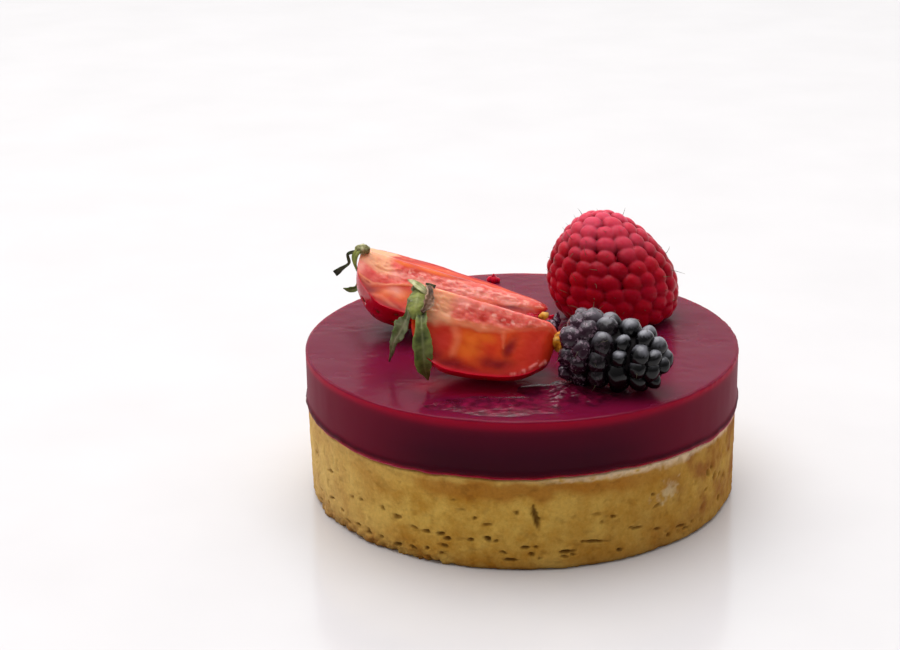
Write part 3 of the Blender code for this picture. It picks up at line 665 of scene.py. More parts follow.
def flesh_fields(part, mirrored, core_low, core_high, ring_width, fan, veins, glints, warm,
                 deep, pale, blush, seed):
    """Fields from 0 to 1 over the cut faces: core, its ring and torn threads, fan by the
    calyx, veins, painted wet highlights, warm, deep and blushed patches, pale patches that are
    partly painted highlight, the margin under the skin, and where the face turned away has dried.

    The core lies between two lines over the distance from the ridge, and the fan above its
    line and short of along = fan[0] + fan[1] * distance.
    """
    along, depth = part["along"], part["depth"]
    face = np.abs(part["face"]) if mirrored else part["face"]
    spread = face_cloud(along, part["face"], 2.6, seed, 3)
    fine = face_cloud(along, part["face"], 0.7, seed + 1, 2)
    cut = 1 - part["skin"]
    high = np.interp(along, *np.array(core_high).T)
    low = np.interp(along, *np.array(core_low).T)
    core = (1 - rise(face + 0.5 * spread, high - 0.9, high + 0.3)) * rise(
        face + 0.4 * spread, low - 0.5, low + 0.6)
    ring = ((1 - rise(np.abs(face + 0.3 * spread - high), 0.4 * ring_width, 1.3 * ring_width))
            * (1 - 0.75 * rise(along, 9, 22)))
    edge = np.interp(along, *np.array(fan[2]).T)
    reach = along - fan[1] * np.abs(face) + 0.7 * spread
    fan_field = ((1 - rise(reach, fan[0] - 0.8, fan[0] + 0.8))
                 * (1 - rise(face + 0.5 * spread, edge - 0.8, edge + 0.8)))
    speck = (core * rise(fine, 0.2, 0.6) * rise(along, 7.0, 9.5)
             * (1 - rise(np.abs(face - 2.0 + 0.05 * (along - 10)) + 0.4 * spread, 0.5, 1.3)))
    vein, glint = (np.max([stroke(along, part["face"], path, widths, first + k)
                           for k, (path, widths) in enumerate(strokes)], 0)
                   for strokes, first in ((veins, seed), (glints, seed + 50)))
    glint *= rise(fine, -0.75, 0.1)
    margin = (1 - rise(depth + 0.35 * spread, 0.3, 1.4)) * rise(along, 1.5, 4.0)
    part.update(dry=cut * rise(-part["face"], 0.5, 3.0) * (not mirrored), core=cut * core,
                ring=cut * ring, fan=cut * fan_field, vein=cut * vein, glint=cut * glint,
                speck=cut * speck, margin=np.maximum(part["skin"], margin * cut),
                warm=cut * patches(along, face, warm, seed + 20),
                deep=cut * patches(along, face, deep, seed + 30),
                pale=cut * patches(along, face, pale, seed + 40),
                blush=cut * patches(along, face, blush, seed + 45))


flesh_fields(
    front, True, ((0, -2.0), (30, -2.0)),
    ((0, 4.0), (7.6, 5.3), (11.1, 5.0), (14.3, 4.3), (17.2, 3.7), (21.0, 2.2), (24.5, 1.2)), 0.75,
    (6.2, 0.26, ((0, 3.0), (2.0, 6.0), (3.4, 6.6), (7.4, 5.6), (9.0, 5.0))),
    ((((8.0, 5.6), (8.9, 7.4), (9.3, 9.0), (9.2, 10.8)), (0.8, 0.6)),
     (((16.6, 4.6), (17.0, 6.0), (17.3, 7.2)), (0.4, 0.2)),
     (((8.0, -5.4), (9.3, -7.4), (9.6, -10.6)), (0.5, 0.3)),
     (((13.5, -4.8), (14.4, -7.0), (14.6, -10.0)), (0.4, 0.2)),
     (((18.0, -4.0), (19.0, -6.0), (19.8, -9.0)), (0.4, 0.2))),
    ((((14.0, 0.1), (17.5, 0.15), (21.5, 0.2)), (0.5, 0.35)),
     (((11.0, 13.9), (14.7, 13.3), (18.8, 12.0), (22.0, 10.2)), (0.10, 0.16)),
     (((21.2, 10.4), (22.8, 9.1), (23.8, 7.6)), (0.14, 0.22)),
     (((24.2, 8.0), (25.0, 6.4)), (0.15, 0.25))),
    ((11.6, 7.4, 2.8, 2.0, 0), (13.6, 6.4, 2.2, 1.3, -8), (11.6, 9.4, 3.0, 2.2, 10)),
    ((17.2, 10.4, 3.6, 1.8, -10), (9.4, 13.2, 6.0, 1.9, -4), (18.3, 7.0, 1.1, 2.6, 12),
     (5.6, 12.0, 2.8, 2.8, 0)),
    ((8.6, 1.0, 2.6, 1.0, 10), (12.6, 0.8, 2.0, 0.6, 0)),
    ((12.4, 3.0, 2.2, 0.9, 0), (16.0, 2.4, 2.4, 0.8, 5), (22.4, 5.4, 3.4, 4.6, 0),
     (6.4, 9.4, 2.2, 3.0, 0), (21.0, 10.6, 3.4, 1.6, -30)), 61)
flesh_fields(
    back, False,
    ((0, -9.0), (3.0, -9.0), (5.0, -0.2), (9.0, 1.0), (16.0, 0.9), (20.0, -0.4), (24.0, -2.0),
     (37.0, -2.0)),
    ((0, 5.4), (1.0, 6.0), (3.8, 7.5), (7.3, 6.3), (10.3, 4.9), (16.0, 4.6), (26.0, 3.6),
     (33.0, 2.0), (37.0, 0.5)), 0.3,
    (6.0, 0.1, ((0, 2.6), (1.6, 3.0), (4.0, 4.2), (7.0, 3.6), (9.0, 1.8))),
    ((((1.0, 6.0), (2.2, 7.2), (3.8, 7.7), (7.3, 6.4), (10.3, 4.9)), (0.22, 0.3)),
     (((4.2, 10.2), (6.1, 9.8), (8.5, 11.0), (10.6, 12.2), (13.0, 12.4)), (0.4, 0.5)),
     (((6.6, 8.4), (8.2, 8.2), (9.6, 8.8)), (0.5, 0.3)),
     (((3.6, 2.6), (5.6, 3.0), (8.0, 2.2)), (0.3, 0.2)),
     (((12.0, 5.0), (14.0, 7.4), (14.6, 9.8)), (0.4, 0.25)),
     (((19.0, 4.4), (20.6, 6.4), (21.2, 8.4)), (0.35, 0.2)),
     (((8.0, -4.5), (9.5, -7.5), (10.0, -9.5)), (0.4, 0.2)),
     (((15.0, -4.2), (16.5, -6.0), (17.0, -7.6)), (0.4, 0.2))),
    ((((15.0, 2.0), (19.0, 1.6), (24.0, 1.2), (30.0, 0.9)), (0.5, 0.35)),
     (((16.0, 3.4), (21.0, 3.0), (26.0, 2.6)), (0.35, 0.25))),
    ((8.0, 0.2, 3.0, 0.9, 0), (14.5, 0.0, 3.5, 0.8, 0), (6.4, 8.4, 2.2, 1.2, -10),
     (9.6, 8.0, 2.0, 1.4, -20)),
    ((2.4, 6.8, 2.4, 1.8, 40), (3.4, 9.0, 3.0, 1.2, -20),
     (9.4, 11.6, 3.4, 1.0, 20),
     (30.0, 3.0, 3.0, 1.0, -10), (26.0, 5.2, 3.0, 1.2, -10)),
    ((8.0, 3.4, 3.0, 1.0, -10), (13.0, 3.4, 3.4, 1.0, -5), (21.5, 2.6, 4.5, 0.9, -6),
     (8.3, 7.4, 1.7, 1.3, 0), (28.5, 1.7, 4.5, 1.0, 0),
     (0.9, 4.6, 0.9, 1.6, 0)),
    ((5.0, 6.3, 2.6, 2.2, 10), (2.6, 5.8, 2.0, 1.6, 30), (10.5, 2.2, 2.4, 0.7, 0),
     (8.5, -7.6, 4.5, 1.3, 0), (16.0, -8.2, 6.0, 1.1, 0), (23.0, -7.0, 5.0, 0.9, 0)), 81)

for part, points, seed in ((front, front_points, 71), (back, back_points, 72)):
    calm = rise(part["along"], 1.0, 5.0) * rise(np.abs(part["face"]), 0.2, 1.6)
    torn = (0.18 * cloud(points, 1.3 * MM, seed + 1, 2)
            + 0.10 * cloud(points, 0.55 * MM, seed + 2, 2))
    part["relief"] = ((1 - part["skin"]) * MM * (
        0.05 * cloud(points, 1.2 * MM, seed, 2) + 0.10 * part["vein"] + 0.08 * part["ring"]
        + 0.10 * part["glint"] - calm * part["core"] * torn))

# Cut strawberry: skin of a deep glossy red, flesh orange red under a film of juice with
# painted wet highlights, and a core that runs from cream at the calyx to coral, speckled with
# torn white threads.
cut_strawberry, tree, shader = finish_material("cut_ripe_strawberry", {
    "IOR": 1.38, "Specular IOR Level": 0.16,
    "Subsurface Weight": 0.5, "Subsurface Radius": (1.0, 0.22, 0.10), "Subsurface Scale": 0.002,
    "Coat Weight": 0.1, "Coat Roughness": 0.1})
_, flesh = grained(tree, 130.0, ((0.32, "AE200E"), (0.5, "C63414"), (0.68, "D64C1A")), 3.0)
fibre, core_tone = grained(tree, 420.0, ((0.35, "D64844"), (0.62, "E87C6C")), 4.0, 0.6)
# The pale dye is paler flesh, and near the ridge also painted highlight.
FLESH_DYES = (
    ("warm", "E0701C", 0.65), ("deep", "740210", 0.97), ("core", core_tone, 0.9),
    ("pale", "F4B4A2", 0.5), ("blush", "BE2C22", 0.85), ("speck", "F8B8A8", 0.55),
    ("ring", "D8805A", 0.8), ("vein", "DC7A54", 0.5), ("fan", "E8A27A", 0.92),
    ("margin", "9C1418", 0.85), ("skin", "C20424", 1.0), ("glint", "EC9C94", 0.55))
surface(tree, shader, tinted(tree, flesh, FLESH_DYES), fibre, 0.25, 0.3 * MM)
dry = add(tree, "Attribute", attribute_name="dry").outputs["Fac"]
gloss = add(tree, "MapRange", {"Value": dry, "To Min": 0.24, "To Max": 0.7})
tree.links.new(gloss.outputs["Result"], shader.inputs["Roughness"])

# Strawberry seeds: hard red-brown husks, just under 1 mm long, sunk in dimples of the skin.
seed_husk = plain_material("strawberry_seed_husk", {"Roughness": 0.6, "Specular IOR Level": 0.15},
                           900.0, 2.0, ((0.35, "6A1410"), (0.65, "8A3A1C")))


def unit_sphere(lat, columns):
    """Points of a unit sphere at angles lat from its top, and evenly round it."""
    lat = lat[:, None]
    lon = np.linspace(0, 2 * math.pi, columns, endpoint=False)[None, :]
    return np.stack([np.sin(lat) * np.cos(lon), np.sin(lat) * np.sin(lon),
                     np.cos(lat) + 0 * lon], -1)


def balls(centres, frames, sizes, rows=7, columns=10):
    """Ellipsoids as one mesh's points and faces.

    Each is centre + frame @ (size * unit sphere), the sphere given by rows of latitude
    and columns of longitude with a point at each pole.
    """
    unit = unit_sphere(np.linspace(0, math.pi, rows + 1)[1:-1], columns)
    unit = np.vstack([unit.reshape(-1, 3), (0, 0, 1), (0, 0, -1)])
    points = centres[:, None] + np.einsum("nij,nkj->nki", frames, sizes[:, None] * unit[None])
    quads, index, after = wrapped_quads(rows - 1, columns)
    faces = quads[:, (0, 3, 2, 1)].tolist()
    faces += [(index.size, a, b) for a, b in zip(index[0], after[0])]
    faces += [(index.size + 1, b, a) for a, b in zip(index[-1], after[-1])]
    return points, faces


def joined(name, points, faces, material, fields=None):
    """One object from many like shapes: points are [shape, point], faces those of one."""
    count, each = points.shape[:2]
    everything = [[v + k * each for v in face] for k in range(count) for face in faces]
    return smooth_piece(name, points.reshape(-1, 3), everything, material,
                        {field: values.ravel() for field, values in (fields or {}).items()})


# The skin dips about a quarter millimetre round each seed; the seeds lie in rows some 3 mm
# apart, turned by half a step from one row to the next.
for name, node, points, part, seed in (
        ("strawberry_front_cut", "strawberry_front", front_points, front, 5),
        ("strawberry_back_cut", "strawberry_back", back_points, back, 6)):
    draw = np.random.default_rng(seed)
    normal = facing_out(points)
    stations, across = points.shape[:2]
    sites = []
    for i in range(8, stations - 8, SEED_ROW_STEP):
        arc = np.linalg.norm(np.diff(points[i, :SKIN_POINTS], axis=0), axis=1).sum()
        count = max(2, int(round(arc / SEED_PITCH)))
        for k in range(count):
            j = (k + 0.5 + 0.25 * (-1) ** (i // SEED_ROW_STEP) + draw.uniform(-0.15, 0.15)) / count
            j = int(j * SKIN_POINTS)
            if 3 < j < SKIN_POINTS - 4:
                sites.append((i + draw.integers(-2, 3), j))
    sites = np.array(sites)
    spots = points[sites[:, 0], sites[:, 1]]
    out = normal[sites[:, 0], sites[:, 1]]
    lengthwise = points[sites[:, 0] + 1, sites[:, 1]] - points[sites[:, 0] - 1, sites[:, 1]]
    lengthwise /= np.linalg.norm(lengthwise, axis=1, keepdims=True)
    dimple = np.zeros((stations, across))
    for spot in spots:
        near = np.linalg.norm(points - spot, axis=-1)
        dimple = np.maximum(dimple, 1 - rise(near, 0.2 * MM, 1.15 * MM))
    relief = part["relief"] - DIMPLE_DEPTH * dimple * part["skin"]
    shaped = points + relief[..., None] * normal
    fields = {key: part[key] for key in [field for field, *_ in FLESH_DYES] + ["dry"]}
    berry = closed_piece(name, shaped, cut_strawberry, fields)
    berry.data.set_sharp_from_angle(angle=math.radians(50))
    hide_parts(node)
    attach(berry, "root")
    frames = np.stack([lengthwise, np.cross(out, lengthwise), out], -1)
    sizes = np.repeat(SEED_SIZE[None], len(spots), 0)
    seeds = joined(name + "_seeds", *balls(spots - out * 0.2 * MM, frames, sizes), seed_husk)
    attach(seeds, "root")

# --- Calyxes ---------------------------------------------------------------------------------
# The green caps left on the strawberry pieces: a small woody hub and its sepals, thin leaves
# that have wilted, curled at their edges and dried brown where they are torn.
SEPAL_THICKNESS = 0.32 * MM
SEPAL_ROWS = 72
SEPAL_COLUMNS = 13
HUB_ROWS = 30
HUB_COLUMNS = 44


def sepal(path, half_widths, facing, seed, crinkle, fold):
    """Rows of points round a thin leaf, and its fields.

    A point at share v along the path and u across, from -1 to 1, lies at path(v) +
    side * u * w(v), folded up along its midrib by fold * w * |u|. The half width w wanders
    by a tenth, and the edge curls and waves. Each row runs over the face and back under it.
    """
    curve = catmull(path, 12) + (0, 0, JELLY_LEVEL)
    length = run_length(curve)
    v = np.linspace(0.0, 1.0, SEPAL_ROWS)
    at = v * length[-1]
    centre = np.stack([np.interp(at, length, curve[:, k]) for k in range(3)], -1)
    along = np.gradient(centre, axis=0)
    along /= np.linalg.norm(along, axis=1, keepdims=True)
    side = np.cross(along, np.array(facing))
    side /= np.linalg.norm(side, axis=1, keepdims=True)
    normal = np.cross(side, along)
    width = catmull([(w, 0.0) for w in half_widths], 12)[:, 0]
    width = np.maximum(0.08, np.interp(at, length, width))
    u = np.linspace(-1, 1, SEPAL_COLUMNS)
    place = np.stack([1.5 * u[None] + 0 * v[:, None], at[:, None] + 0 * u[None],
                      0 * v[:, None] + 0 * u[None]], -1)
    on_edge = place * (0, 1, 1) + (np.sign(u)[None, :, None] * 4.0) * (1, 0, 0)
    ragged = 1 + 0.22 * crinkle * cloud(on_edge, 1.1, seed, 3) * np.abs(u) ** 2
    narrow = np.minimum(width, 1.2)[:, None]
    waves = (0.30 * np.abs(u) ** 1.5 * cloud(place, 1.6, seed + 1, 2)
             + 0.10 * cloud(place, 0.6, seed + 2, 2))
    lift = fold * np.abs(u) * width[:, None] + crinkle * narrow * waves
    face = (centre[:, None] + side[:, None] * (u[None, :] * width[:, None] * ragged)[..., None]
            + normal[:, None] * lift[..., None])
    thick = SEPAL_THICKNESS / MM * (1 - 0.6 * np.abs(u) ** 2)[None, :, None] / 2
    below = face - normal[:, None] * thick
    ring = np.concatenate([face + normal[:, None] * thick, below[:, ::-1]], 1) * MM
    rib = np.exp(-(u / 0.16) ** 2)[None] * (1 - 0.5 * v[:, None])
    brim = rise(np.abs(u)[None] + 0.25 * cloud(place, 1.5, seed + 3, 2), 0.55, 1.05)
    fields = {"rib": rib, "brim": brim, "tip": np.repeat(v[:, None], SEPAL_COLUMNS, 1)}
    return ring, {key: np.concatenate([values, values[:, ::-1]], 1)
                  for key, values in fields.items()}


def leaf_material(name, pale, dark, rib_colour, brim_colour, tip_colour, tip_start):
    """Wilted strawberry leaf: soft dull green, midrib, edge and tip in their own colours."""
    material, tree, shader = finish_material(name, {
        "Roughness": 0.55, "Specular IOR Level": 0.3, "Subsurface Weight": 0.15,
        "Subsurface Radius": (0.4, 0.8, 0.2), "Subsurface Scale": 0.001})
    veins, colour = grained(tree, 520.0, ((0.36, dark), (0.62, pale)), 5.0)
    colour = tinted(tree, colour, (("rib", rib_colour, 0.7, 0.1), ("brim", brim_colour, 0.7),
                                   ("tip", tip_colour, 0.95, tip_start)))
    surface(tree, shader, colour, veins, 0.5, 0.4 * MM)
    return material


hung_leaf, wilted_leaf, cap_leaf, pale_leaf, brown_leaf, black_leaf = (
    leaf_material("strawberry_leaf_" + look, *colours, tip_start)
    for look, colours, tip_start in (
        ("hung", ("6E7438", "3C4418", "8E9060", "7A8240", "6E7440"), 0.9),
        ("wilted", ("8C9068", "5C663C", "B4B08C", "4A4A2C", "241E16"), 0.82),
        ("cap", ("8C9040", "5E6428", "94965C", "5E5C2C", "6C7438"), 0.7),
        ("pale", ("E2DCAE", "B0AC74", "E6E2BE", "8C8450", "6E5A3C"), 0.86),
        ("brown", ("8A6048", "3C2818", "6A4830", "C09C84", "4A2C1C"), 0.8),
        ("black", ("5C5C3C", "2C3020", "4C4C34", "2C2C20", "22241A"), 0.7)))

# Each calyx: node, the hub's place and half sizes, and its sepals. Each sepal: material,
# crinkle, fold, path and half widths, and the way that its face looks. Heights are over the
# jelly, and all are in millimetres.
CALYXES = (
    ("calyx_front", (-17.9, -18.4, 16.1), (1.3, 0.9, 0.8), (
        (hung_leaf, 0.8, 0.45,
         ((-17.6, -18.6, 15.5), (-17.4, -20.6, 14.6), (-17.2, -23.2, 13.3), (-17.1, -25.4, 11.8),
          (-16.9, -26.4, 9.3), (-16.8, -26.4, 6.6), (-16.7, -25.2, 4.0), (-16.3, -22.9, 0.9)),
         (0.9, 0.9, 0.85, 1.05, 1.6, 1.6, 1.1, 0.12), (0, -1, 0.25)),
        (wilted_leaf, 1.2, 0.3,
         ((-19.0, -21.6, 15.2), (-19.4, -22.0, 14.0), (-19.6, -21.8, 12.5), (-20.5, -20.4, 10.0),
          (-21.4, -19.2, 8.2), (-22.3, -17.9, 6.3), (-22.8, -16.6, 4.3), (-23.6, -14.3, 1.1)),
         (0.6, 0.5, 0.7, 1.5, 1.2, 0.75, 0.5, 0.12), (-0.3, -1, 0.2)),
        (cap_leaf, 0.7, -0.25,
         ((-17.6, -18.2, 16.7), (-17.8, -20.2, 16.0), (-18.1, -22.4, 14.9), (-18.3, -23.6, 13.6),
          (-18.6, -23.7, 12.4)),
         (1.2, 1.55, 1.6, 1.2, 0.3), (-0.1, -1, 0.8)),
        (pale_leaf, 0.7, 0.3,
         ((-15.9, -19.7, 15.4), (-17.0, -19.8, 16.5), (-18.0, -19.3, 17.1), (-18.9, -18.5, 17.5),
          (-19.7, -17.7, 17.6)),
         (0.25, 0.55, 0.6, 0.4, 0.1), (0, -1, 0.6)),
        (brown_leaf, 2.2, 0.3,
         ((-16.0, -18.9, 16.9), (-15.7, -20.4, 16.2), (-15.8, -21.7, 15.3), (-16.3, -22.9, 14.5),
          (-17.1, -24.0, 13.8)),
         (0.5, 0.7, 0.75, 0.6, 0.3), (0.3, -1, 0.5)),
        (black_leaf, 1.6, 0.2, ((-16.6, -18.2, 16.8), (-15.7, -18.1, 16.8), (-14.9, -18.2, 16.5)),
         (0.4, 0.22, 0.34), (0, -1, 0.6)))),
    ("calyx_back", (-29.4, 6.4, 15.7), (1.35, 1.2, 0.9), (
        (black_leaf, 0.8, 0.3,
         ((-30.3, 5.9, 15.3), (-31.4, 5.4, 15.4), (-32.2, 5.4, 15.0), (-32.1, 5.4, 14.1),
          (-32.0, 5.4, 13.4), (-32.5, 5.4, 12.8), (-33.4, 5.3, 12.3), (-34.7, 5.2, 11.3)),
         (0.5, 0.35, 0.3, 0.28, 0.28, 0.3, 0.42, 0.6), (0.3, -1, 0.5)),
        (cap_leaf, 0.8, 0.3,
         ((-30.2, 5.6, 15.7), (-30.8, 5.0, 14.8), (-30.8, 4.6, 13.6), (-30.4, 4.2, 11.9)),
         (0.6, 0.6, 0.4, 0.1), (-0.5, -1, 0.3)),
        (hung_leaf, 0.7, 0.4,
         ((-29.8, 8.0, 14.6), (-29.9, 12.0, 11.4), (-30.3, 14.8, 7.4), (-31.6, 15.8, 4.9),
          (-33.0, 16.2, 4.4), (-34.3, 16.2, 4.7)),
         (0.5, 0.5, 0.5, 0.55, 0.5, 0.1), (-0.4, -1, 0.4)))),
)

# Strawberry hub: a knob of green wood with a cut stub, dry and ridged.
stalk = plain_material("strawberry_stalk", {"Roughness": 0.65, "Specular IOR Level": 0.3},
                       900.0, 4.0, ((0.34, "2E2814"), (0.5, "7C7848"), (0.66, "C2BC90")),
                       0.8, 0.5 * MM)

for node, hub, hub_size, sepals in CALYXES:
    unit = unit_sphere(np.linspace(0.05, math.pi - 0.05, HUB_ROWS), HUB_COLUMNS)
    knob = (np.array(hub) + (0, 0, JELLY_LEVEL)) * MM + unit * np.array(hub_size) * MM
    knob += unit * (0.28 * MM * cloud(knob, 1.1 * MM, 91, 3))[..., None]
    piece = closed_piece(node + "_hub", knob, stalk)
    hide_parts(node)
    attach(piece, "root")
    for k, (material, crinkle, fold, path, half_widths, facing) in enumerate(sepals):
        ring, fields = sepal(path, half_widths, facing, 100 + 7 * k, crinkle, fold)
        piece = closed_piece(f"{node}_sepal_{k + 1}", ring, material, fields)
        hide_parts(node)
        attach(piece, "root")

# --- Raspberry -------------------------------------------------------------------------------
# A ripe raspberry stood on its open end: about a hundred and sixty tight drupelets in staggered
# rows, each with a painted sheen on its upper side, and the dry brown threads that were the
# flower's styles.
RASPBERRY_BASE = np.array((18.6, 13.0, 27.8)) * MM
RASPBERRY_HEIGHT = 21.0 * MM
RASPBERRY_LEAN = np.array((-3.5, 0.8, 0.0)) * MM
RASPBERRY_OUTLINE = ((0.2, 8.6), (1.6, 10.9), (4.6, 12.2), (7.8, 12.4), (10.6, 11.8),
                     (13.2, 10.5), (15.8, 8.6), (18.2, 6.2), (20.0, 3.5), (20.8, 0.0))
RASPBERRY_DRUPELET = np.array((2.3, 2.1, 1.6)) * MM
RASPBERRY_TILT = math.radians(14)
RASPBERRY_PITCHES = np.array((2.7, 3.75)) * MM
RASPBERRY_INSET = 1.9 * MM
RASPBERRY_ROWS = 216
RASPBERRY_COLUMNS = 440
CREASE_SHARPNESS = 9 / MM
STYLE_COUNT = 52
STYLE_RADIUS = 0.07 * MM
STYLE_LOWEST = 31 * MM
RASPBERRY_WAIST = 41 * MM
RASPBERRY_TOP = 49 * MM
RASPBERRY_FOOT = 29 * MM


def drupelet_sites(outline, row_pitch, column_pitch, seed):
    """Rows of drupelets on a turned outline of (distance, radius) millimetre pairs.

    Row i lies at arc length (i + 1/2) * row pitch and holds 2 pi r / column pitch
    drupelets, turned by half a step from the row before. Gives places, frames (sideways,
    lengthwise and outward), sizes, which vary by a tenth and fall by a fifth from base to tip,
    and each drupelet's share of the way from base to tip.
    """
    curve = catmull(outline, 8) * MM
    length = run_length(curve)
    draw = random.Random(seed)
    rows = int(round(length[-1] / row_pitch))
    places, frames, sizes, shares = [], [], [], []
    for i in range(rows):
        at = (i + 0.5) * length[-1] / rows
        along, radius = (np.interp(at, length, curve[:, k]) for k in (0, 1))
        ahead = [np.interp(at + 0.1 * MM, length, curve[:, k]) for k in (0, 1)]
        slope = np.array((ahead[1] - radius, 0.0, ahead[0] - along))
        slope /= np.linalg.norm(slope)
        count = max(1, int(round(2 * math.pi * radius / column_pitch)))
        for j in range(count):
            turn = 2 * math.pi * (j + 0.5 * (i % 2) + draw.uniform(-0.16, 0.16)) / count
            spin = np.array(Matrix.Rotation(turn, 3, "Z"))
            normal = spin @ (slope[2], 0.0, -slope[0])
            places.append(spin @ (radius, 0.0, along))
            frames.append(np.array([np.cross(spin @ slope, normal), spin @ slope, normal]))
            sizes.append(draw.uniform(0.88, 1.08) * (1.06 - 0.22 * at / length[-1]))
            shares.append(at / length[-1])
    return np.array(places), np.array(frames), np.array(sizes), np.array(shares)


def turned_rays(outline, rows, columns, inset):
    """Points an inset below a turned outline, with the outline's outward normals."""
    curve = catmull(outline, 40) * MM
    length = run_length(curve)
    at = np.linspace(0.0, 0.997, rows) * length[-1]
    along, radius = (np.interp(at, length, curve[:, k]) for k in (0, 1))
    slope = np.gradient(np.stack([along, radius], -1), axis=0)
    slope /= np.linalg.norm(slope, axis=1, keepdims=True)
    turn = np.linspace(0, 2 * math.pi, columns, endpoint=False)[None]
    core = np.maximum(radius - inset * slope[:, 0], 0.02 * MM)[:, None]
    start = np.stack([core * np.cos(turn), core * np.sin(turn),
                      (along + inset * slope[:, 1])[:, None] + 0 * turn], -1)
    out = np.stack([slope[:, 0, None] * np.cos(turn), slope[:, 0, None] * np.sin(turn),
                    -slope[:, 1, None] + 0 * turn], -1)
    return start, out


def over_drupelets(start, out, places, frames, radii):
    """Height over the start at which each ray leaves the last drupelet that it meets.

    The heights h of all drupelets on a ray, and 0.1 mm where it meets none, are blended to
    log(sum(exp(k h))) / k, which rounds the creases. Also gives how far the ray passes from
    the middle of the nearest drupelet, as a share of its radius, and that drupelet's number.
    """
    total = np.exp(CREASE_SHARPNESS * 0.1 * MM) * np.ones(start.shape[:2])
    nearest = np.full(start.shape[:2], 1.0)
    owner = np.zeros(start.shape[:2], int)
    for k, (place, frame_rows, radius) in enumerate(zip(places, frames, radii)):
        q = (start - place) @ frame_rows.T / radius
        m = out @ frame_rows.T / radius
        mm, qm, qq = (np.sum(a * b, -1) for a, b in ((m, m), (q, m), (q, q)))
        inside = qm ** 2 - mm * (qq - 1)
        hit = inside > 0
        h = np.where(hit, (-qm + np.sqrt(np.maximum(inside, 0))) / mm, -1.0)
        total += np.where(hit & (h > 0), np.exp(CREASE_SHARPNESS * h), 0.0)
        miss = np.where(h > 0, qq - qm ** 2 / mm, 1.0)
        owner = np.where(miss < nearest, k, owner)
        nearest = np.minimum(nearest, miss)
    return np.log(total) / CREASE_SHARPNESS, np.sqrt(nearest), owner


places, frames, sizes, shares = drupelet_sites(RASPBERRY_OUTLINE, *RASPBERRY_PITCHES, 3)
radii = RASPBERRY_DRUPELET * sizes[:, None]
centres = places - frames[:, 2] * radii[:, 2:]
c, s = math.cos(RASPBERRY_TILT), math.sin(RASPBERRY_TILT)
tilted = np.stack([frames[:, 0], c * frames[:, 1] + s * frames[:, 2],
                   c * frames[:, 2] - s * frames[:, 1]], 1)
start, out = turned_rays(RASPBERRY_OUTLINE, RASPBERRY_ROWS, RASPBERRY_COLUMNS, RASPBERRY_INSET)
lift, offset, owner = over_drupelets(start, out, centres, tilted, radii)
points = start + out * lift[..., None]
points += out * (0.035 * MM * cloud(points, 1.1 * MM, 51, 2))[..., None]
hue = np.random.default_rng(52).uniform(0, 1, len(places))[owner]


def set_down(points, base, axes, lean, height):
    """Place a piece made about its own z axis: base + points @ axes + (z / height) * lean."""
    return base + points @ axes + (points[..., 2:] / height) * lean


raspberry_axes = aim(RASPBERRY_BASE, RASPBERRY_BASE + (0, 0, RASPBERRY_HEIGHT))
raspberry_stand = RASPBERRY_BASE, raspberry_axes, RASPBERRY_LEAN, RASPBERRY_HEIGHT
rows = set_down(points, *raspberry_stand)
floor_level = (JELLY_LEVEL + 0.15) * MM
rows[..., 2] = np.maximum(rows[..., 2], floor_level)

# Raspberry skin: translucent crimson, with painted shade deeper in the creases and a painted
# pinkish sheen on the drupelets' upper sides. Towards the open end, where it is hollow, it is
# painted bright red for light coming through, and towards the top painted pink as if lit.
raspberry_skin, tree, shader = finish_material("raspberry_skin", {
    "Roughness": 0.3, "IOR": 1.38, "Specular IOR Level": 0.11,
    "Subsurface Weight": 0.6, "Subsurface Radius": (1.0, 0.08, 0.16), "Subsurface Scale": 0.003,
    "Sheen Weight": 0.005, "Sheen Roughness": 0.5, "Sheen Tint": linear("FFA0B8")})
place = add(tree, "TexCoord").outputs["Object"]
_, colour = grained(tree, 260.0, ((0.3, "7C0014"), (0.65, "940018")), 4.0, 0.6)
level = add(tree, "SeparateXYZ", {"Vector": place}).outputs["Z"]
# Painted light: towards the top the skin turns pink, as if lit from above, and towards the open
# end bright red, as if lit through the hollow.
for end, dye in ((RASPBERRY_TOP, "E65C76"), (RASPBERRY_FOOT, "D00E34")):
    mask = add(tree, "MapRange", {"Value": level, "From Min": RASPBERRY_WAIST, "From Max": end,
                                  "To Max": 0.75})
    colour = add(tree, "Mix", {0: mask.outputs["Result"], 6: colour, 7: linear(dye)},
                 data_type="RGBA").outputs[2]
colour = tinted(tree, colour, (("hue", "B80E14", 0.35), ("crease_shade", "6C0010", 0.55),
                               ("painted_top_sheen", "D43A56", 0.3)))
down = add(tree, "TexNoise", {"Vector": place, "Scale": 2400.0, "Detail": 2.0})
surface(tree, shader, colour, down, 0.3, 0.1 * MM)

# Painted sheen: a pinkish light on the drupelets' upward-facing sides, strongest near the top.
upward = facing_out(rows)[..., 2]
painted_top_sheen = (rise(upward + 0.3 * cloud(rows, 1.2 * MM, 55, 3), 0.3, 0.85)
         * (1 - rise(offset, 0.65, 0.95)) * (0.3 + 0.7 * rise(rows[..., 2], 0.037, 0.046)))
# The crease field paints shade into the creases between the drupelets.
raspberry = closed_piece("raspberry_flesh", rows, raspberry_skin,
                         {"hue": hue, "crease_shade": rise(offset, 0.55, 1.0), "painted_top_sheen": painted_top_sheen})
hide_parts("raspberry")
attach(raspberry, "root")


